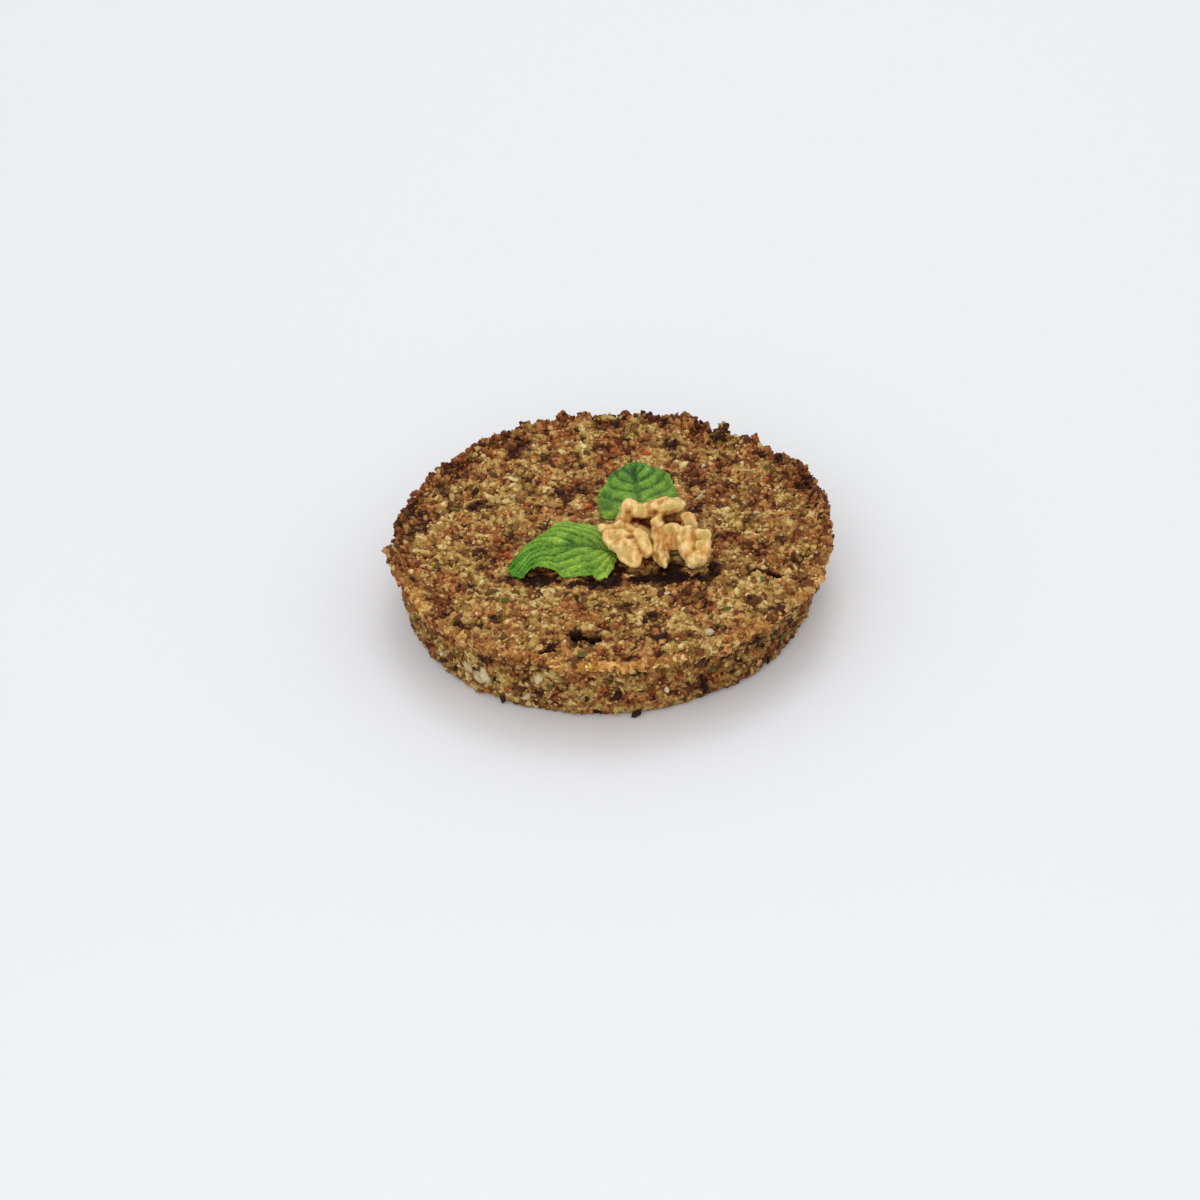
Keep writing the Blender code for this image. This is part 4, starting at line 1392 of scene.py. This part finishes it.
def leafCoat(name, tone):
    coat, tree, shader = newMaterial(name, leafFinish["roughness"], leafFinish["shine"])
    place = coordinates(tree)
    (patchScale, patches), (fineScale, fineTone), (netScale, netTone) = (
        leafFinish[label] for label in ("patches", "fine", "net")
    )
    broad = addNoise(tree, place, patchScale, 2.0)
    fine = addNoise(tree, place, fineScale, 3.0)
    cells = addNode(tree, "ShaderNodeTexVoronoi", {"Vector": place, "Scale": netScale}, feature="DISTANCE_TO_EDGE")
    lines = addRange(tree, cells.outputs["Distance"], 0.10, 0.0)
    level = addMath(tree, "ADD", addProduct(tree, broad, patches), addProduct(tree, fine, fineTone))
    level = addMath(tree, "ADD", level, tone - leafFinish["level"])
    level = addMath(tree, "SUBTRACT", level, addProduct(tree, attribute(tree, "vein"), leafFinish["veins"]))
    level = addMath(tree, "SUBTRACT", level, addProduct(tree, lines, netTone), clamp=True)
    colour = addRamp(tree, level, leafFinish["tones"])
    along = attribute(tree, "along")
    (tip, tipShare), (base, baseShare) = leafFinish["tip"], leafFinish["base"]
    colour = addMix(tree, addRange(tree, along, 0.55, 0.95, (0.0, tipShare)), colour, tip, "MULTIPLY")
    colour = addMix(tree, addRange(tree, along, 0.5, 0.1, (0.0, baseShare)), colour, base)
    tree.links.new(colour, shader.inputs["Base Color"])
    height = addMath(tree, "SUBTRACT", addProduct(tree, fine, 0.6), addProduct(tree, lines, 0.6))
    addBump(tree, shader, height, 0.4, 0.4 * mm)
    return coat


for name, leaf in leaves.items():
    piece = makeLeaf(name, leaf)
    piece.data.materials.append(leafCoat(name + "Green", leaf["tone"]))
    finishPiece(piece, [leaf["node"]])
    print(name, triangles(piece), "triangles")


# the walnut half, hollow side up. each lobe in mm: start and end from the nut's middle, half width,
# half thickness, and the share that its far end narrows
nut = {
    "middle": (11.0 * mm, -6.5 * mm, 17.5 * mm),
    "lobes": {
        "bowl": ((-8.0, 4.4, 2.6), (8.4, 4.2, 2.6), 7.6, 1.4, 0.0),
        "leftWing": ((-9.9, 3.7, 4.9), (-5.3, -11.3, 3.3), 5.2, 1.8, 0.45),
        "leftFlare": ((-11.5, 2.3, 4.6), (-9.3, -5.3, 4.1), 2.8, 1.4, 0.0),
        "leftCorner": ((-5.7, 3.7, 4.7), (-14.2, 3.4, 5.1), 2.4, 1.7, 0.7),
        "leftFinger": ((-4.7, 2.1, 4.9), (-2.0, -8.3, 3.8), 2.2, 2.0, 0.2),
        "leftRim": ((-9.5, 4.3, 4.7), (-6.5, 9.9, 5.3), 1.9, 1.8, 0.0),
        "bridge": ((0.8, 9.7, 5.2), (0.9, 1.9, 4.5), 1.8, 1.9, 0.0),
        "stalk": ((0.5, 4.5, 4.4), (2.1, -12.0, 2.7), 2.6, 1.9, 0.55),
        "stalkTip": ((0.1, -0.9, 3.2), (0.3, -8.3, 2.3), 1.7, 1.3, 0.3),
        "stalkSide": ((4.9, 4.1, 4.7), (4.7, -4.9, 3.5), 3.0, 1.7, 0.2),
        "rightInner": ((7.8, 0.1, 6.3), (8.5, -10.5, 4.1), 2.5, 2.2, 0.0),
        "rightOuter": ((12.1, -1.3, 6.2), (11.7, -10.7, 4.3), 2.4, 2.2, 0.0),
        "rightBlob": ((9.2, -9.0, 4.4), (11.2, -12.7, 3.6), 3.0, 2.1, 0.0),
        "rightBump": ((7.9, 7.1, 5.1), (9.9, 2.5, 4.9), 2.0, 1.9, 0.0),
        "backRight": ((-1.4, 9.5, 6.2), (8.2, 9.9, 6.5), 2.4, 2.2, -0.2),
        "backRightFoot": ((0.6, 10.3, 4.3), (8.1, 10.1, 4.6), 1.8, 1.9, 0.0),
        "backLeft": ((-8.5, 11.2, 6.7), (0.8, 7.4, 5.5), 2.9, 1.9, 0.25),
        "backLeftFoot": ((-7.3, 11.1, 4.7), (-0.5, 10.2, 4.4), 1.8, 1.9, 0.0),
    },
    "fullness": 0.78,
    "lump": (3.0 * mm, 1.0 * mm),  # size, height
    "voxel": 0.24 * mm,
    "blend": (0.6, 2),  # factor, iterations
    "even": (0.8, 60),
    "wrinkle": (2.8 * mm, 0.32 * mm),
    "crest": 0.6,
    "fineWrinkle": (0.8 * mm, 0.09 * mm),
    "grooveDepths": (-0.25 * mm, 0.65 * mm),
    # in mm: start and end from the world's origin, reach, and the height that they stay under
    # the hollows are painted shade in the gaps between the lobes and on the back lobes' lower sides
    "shadedHollows": (((4.4, 1.6), (9.6, -1.2), 2.6, 23.7), ((13.6, -0.2), (17.8, 0.2), 2.6, 23.9)),
    "stains": (
        ((14.8, -7.6), (14.6, -11.4), 2.3, 30.0),
        ((12.2, -9.0), (12.6, -12.6), 1.4, 30.0),
        ((7.4, -4.0), (7.9, -6.4), 1.2, 30.0),
        ((4.4, -6.0), (5.2, -6.4), 0.8, 30.0),
        ((2.2, -3.8), (3.2, -4.4), 1.1, 30.0),
        ((0.2, -0.6), (4.2, -1.6), 1.2, 30.0),
        ((20.6, -8.0), (20.8, -13.0), 1.1, 30.0),
        ((11.6, -5.0), (12.8, -15.0), 2.4, 30.0),
        ((10.4, 5.6), (10.6, 3.4), 1.0, 30.0),
    ),
    "ragged": (1.3 * mm, 0.6),  # size, strength of the outline of a painted hollow shade or a stain
    "fades": (0.2, 1.1),  # shares of the reach
    "lip": 0.9,  # mm
    "roughness": 0.5,
    "shine": 0.18,
    "tones": (
        (0.0, (106, 56, 14)),
        (0.25, (150, 98, 36)),
        (0.45, (188, 140, 66)),
        (0.65, (220, 182, 112)),
        (0.9, (250, 222, 160)),
    ),
    "rosy": (230, 166, 102),
    "olive": (186, 158, 84),
    "stained": (172, 112, 44),
    # colour of the painted shade in the hollows
    "hollowShadeColour": (96, 26, 8),
}


def makeLobe(box, start, end, width, thickness, taper):
    run = Vector(end) - Vector(start)
    mesh = bmesh.new()
    bmesh.ops.create_uvsphere(mesh, u_segments=48, v_segments=28, radius=1.0)
    size = Vector((run.length / 2.0, width, thickness)) * mm
    turn = run.to_track_quat("X", "Z")
    middle = (Vector(start) + Vector(end)) / 2.0 * mm
    for vertex in mesh.verts:
        full = [math.copysign(abs(c) ** nut["fullness"], c) * s for c, s in zip(vertex.co, size)]
        narrow = 1.0 - taper * (vertex.co.x + 1.0) / 2.0
        full[1] *= narrow
        full[2] *= 0.5 + 0.5 * narrow
        vertex.co = turn @ Vector(full) + middle
    mesh.normal_update()
    lumpSize, lump = nut["lump"]
    moved = [v.co + v.normal * lump * noise.noise(v.co / lumpSize) for v in mesh.verts]
    for vertex, place in zip(mesh.verts, moved):
        vertex.co = place + Vector(nut["middle"])
    data = bpy.data.meshes.new("lobe")
    mesh.to_mesh(data)
    mesh.free()
    box.append(data)


# seen from above, 1 in the middle of a run from start to end, 0 beyond its reach or over its height
def nearRun(place, start, end, reach, height):
    begin, run = Vector(start) * mm, (Vector(end) - Vector(start)) * mm
    offset = place.to_2d() - begin
    along = min(1.0, max(0.0, offset.dot(run) / run.length_squared))
    (size, ragged), (full, gone) = nut["ragged"], nut["fades"]
    distance = (offset - run * along).length * (1.0 + ragged * noise.noise(place / size))
    away = 1.0 - smoothStep(full * reach * mm, gone * reach * mm, distance)
    return away * smoothStep(height * mm, (height - nut["lip"]) * mm, place.z)


def makeNut():
    lobes = []
    for lobe in nut["lobes"].values():
        makeLobe(lobes, *lobe)
    joined = bmesh.new()
    for data in lobes:
        joined.from_mesh(data)
        bpy.data.meshes.remove(data)
    piece = asObject("walnutKernel", joined)
    remesh = piece.modifiers.new("skin", "REMESH")
    remesh.mode = "VOXEL"
    remesh.voxel_size = nut["voxel"]
    smooth = piece.modifiers.new("blend", "SMOOTH")
    smooth.factor, smooth.iterations = nut["blend"]
    applyModifiers(piece)
    wrinkleSize, wrinkle = nut["wrinkle"]
    fineSize, fine = nut["fineWrinkle"]
    moved = []
    for vertex in piece.data.vertices:
        ridge = 1.0 - 2.0 * abs(noise.noise(vertex.co / wrinkleSize))
        push = wrinkle * (ridge - nut["crest"]) + fine * noise.noise(vertex.co / fineSize)
        moved.extend(vertex.co + vertex.normal * push)
    piece.data.vertices.foreach_set("co", moved)
    piece.data.update()
    # how far each point lies sunk in a crease, which darkens it: the skin's deeper tone in the creases with painted
    # crease shade
    softened = piece.copy()
    softened.data = piece.data.copy()
    bpy.context.scene.collection.objects.link(softened)
    even = softened.modifiers.new("even", "SMOOTH")
    even.factor, even.iterations = nut["even"]
    applyModifiers(softened)
    groove = []
    for vertex, soft in zip(piece.data.vertices, softened.data.vertices):
        sunk = (soft.co - vertex.co).dot(vertex.normal)
        groove.append(smoothStep(*nut["grooveDepths"], sunk))
    bpy.data.objects.remove(softened)
    storeFloats(piece, "groove", groove)
    # the hollows' mask is painted shade; the stains are the skin's own colour
    for label, runs in (("hollow", nut["shadedHollows"]), ("stain", nut["stains"])):
        storeFloats(piece, label, [max(nearRun(v.co, *run) for run in runs) for v in piece.data.vertices])
    shadeSmooth(piece)
    return piece


def nutCoat():
    coat, tree, shader = newMaterial("walnutSkin", nut["roughness"], nut["shine"])
    place = coordinates(tree)
    broad = addNoise(tree, place, 190.0, 2.0)
    other = addNoise(tree, place, 260.0, 3.0, Roughness=0.6, Distortion=0.6)
    fine = addNoise(tree, place, 1700.0, 3.0)
    stretch = addNode(tree, "ShaderNodeMapping", {"Vector": place, "Scale": (1.0, 0.22, 0.5)})
    streaks = addNoise(tree, stretch.outputs["Vector"], 950.0, 2.0)
    level = addMath(tree, "ADD", addProduct(tree, broad, 0.75), addProduct(tree, fine, 0.25))
    # darker in the creases: the skin's deeper tone there with painted crease shade
    level = addMath(tree, "SUBTRACT", level, addProduct(tree, attribute(tree, "groove"), 0.95))
    level = addMath(tree, "ADD", level, addProduct(tree, streaks, 0.55))
    level = addMath(tree, "SUBTRACT", level, 0.04, clamp=True)
    colour = addRamp(tree, level, nut["tones"])
    colour = addMix(tree, addProduct(tree, addRange(tree, other, 0.50, 0.62), 0.45), colour, nut["rosy"])
    colour = addMix(tree, addProduct(tree, addRange(tree, other, 0.48, 0.38), 0.7), colour, nut["olive"])
    stain = addProduct(tree, attribute(tree, "stain"), addRange(tree, streaks, 0.62, 0.35, (0.35, 1.0)))
    colour = addMix(tree, stain, colour, nut["stained"])
    # painted shade in the hollows between the lobes and under the back lobes
    colour = addMix(tree, attribute(tree, "hollow"), colour, nut["hollowShadeColour"])
    tree.links.new(colour, shader.inputs["Base Color"])
    addBump(tree, shader, fine, 0.3, 0.4 * mm)
    return coat


kernel = makeNut()
kernel.data.materials.append(nutCoat())
finishPiece(kernel, ["walnut_half"])
print("walnutKernel", triangles(kernel), "triangles")
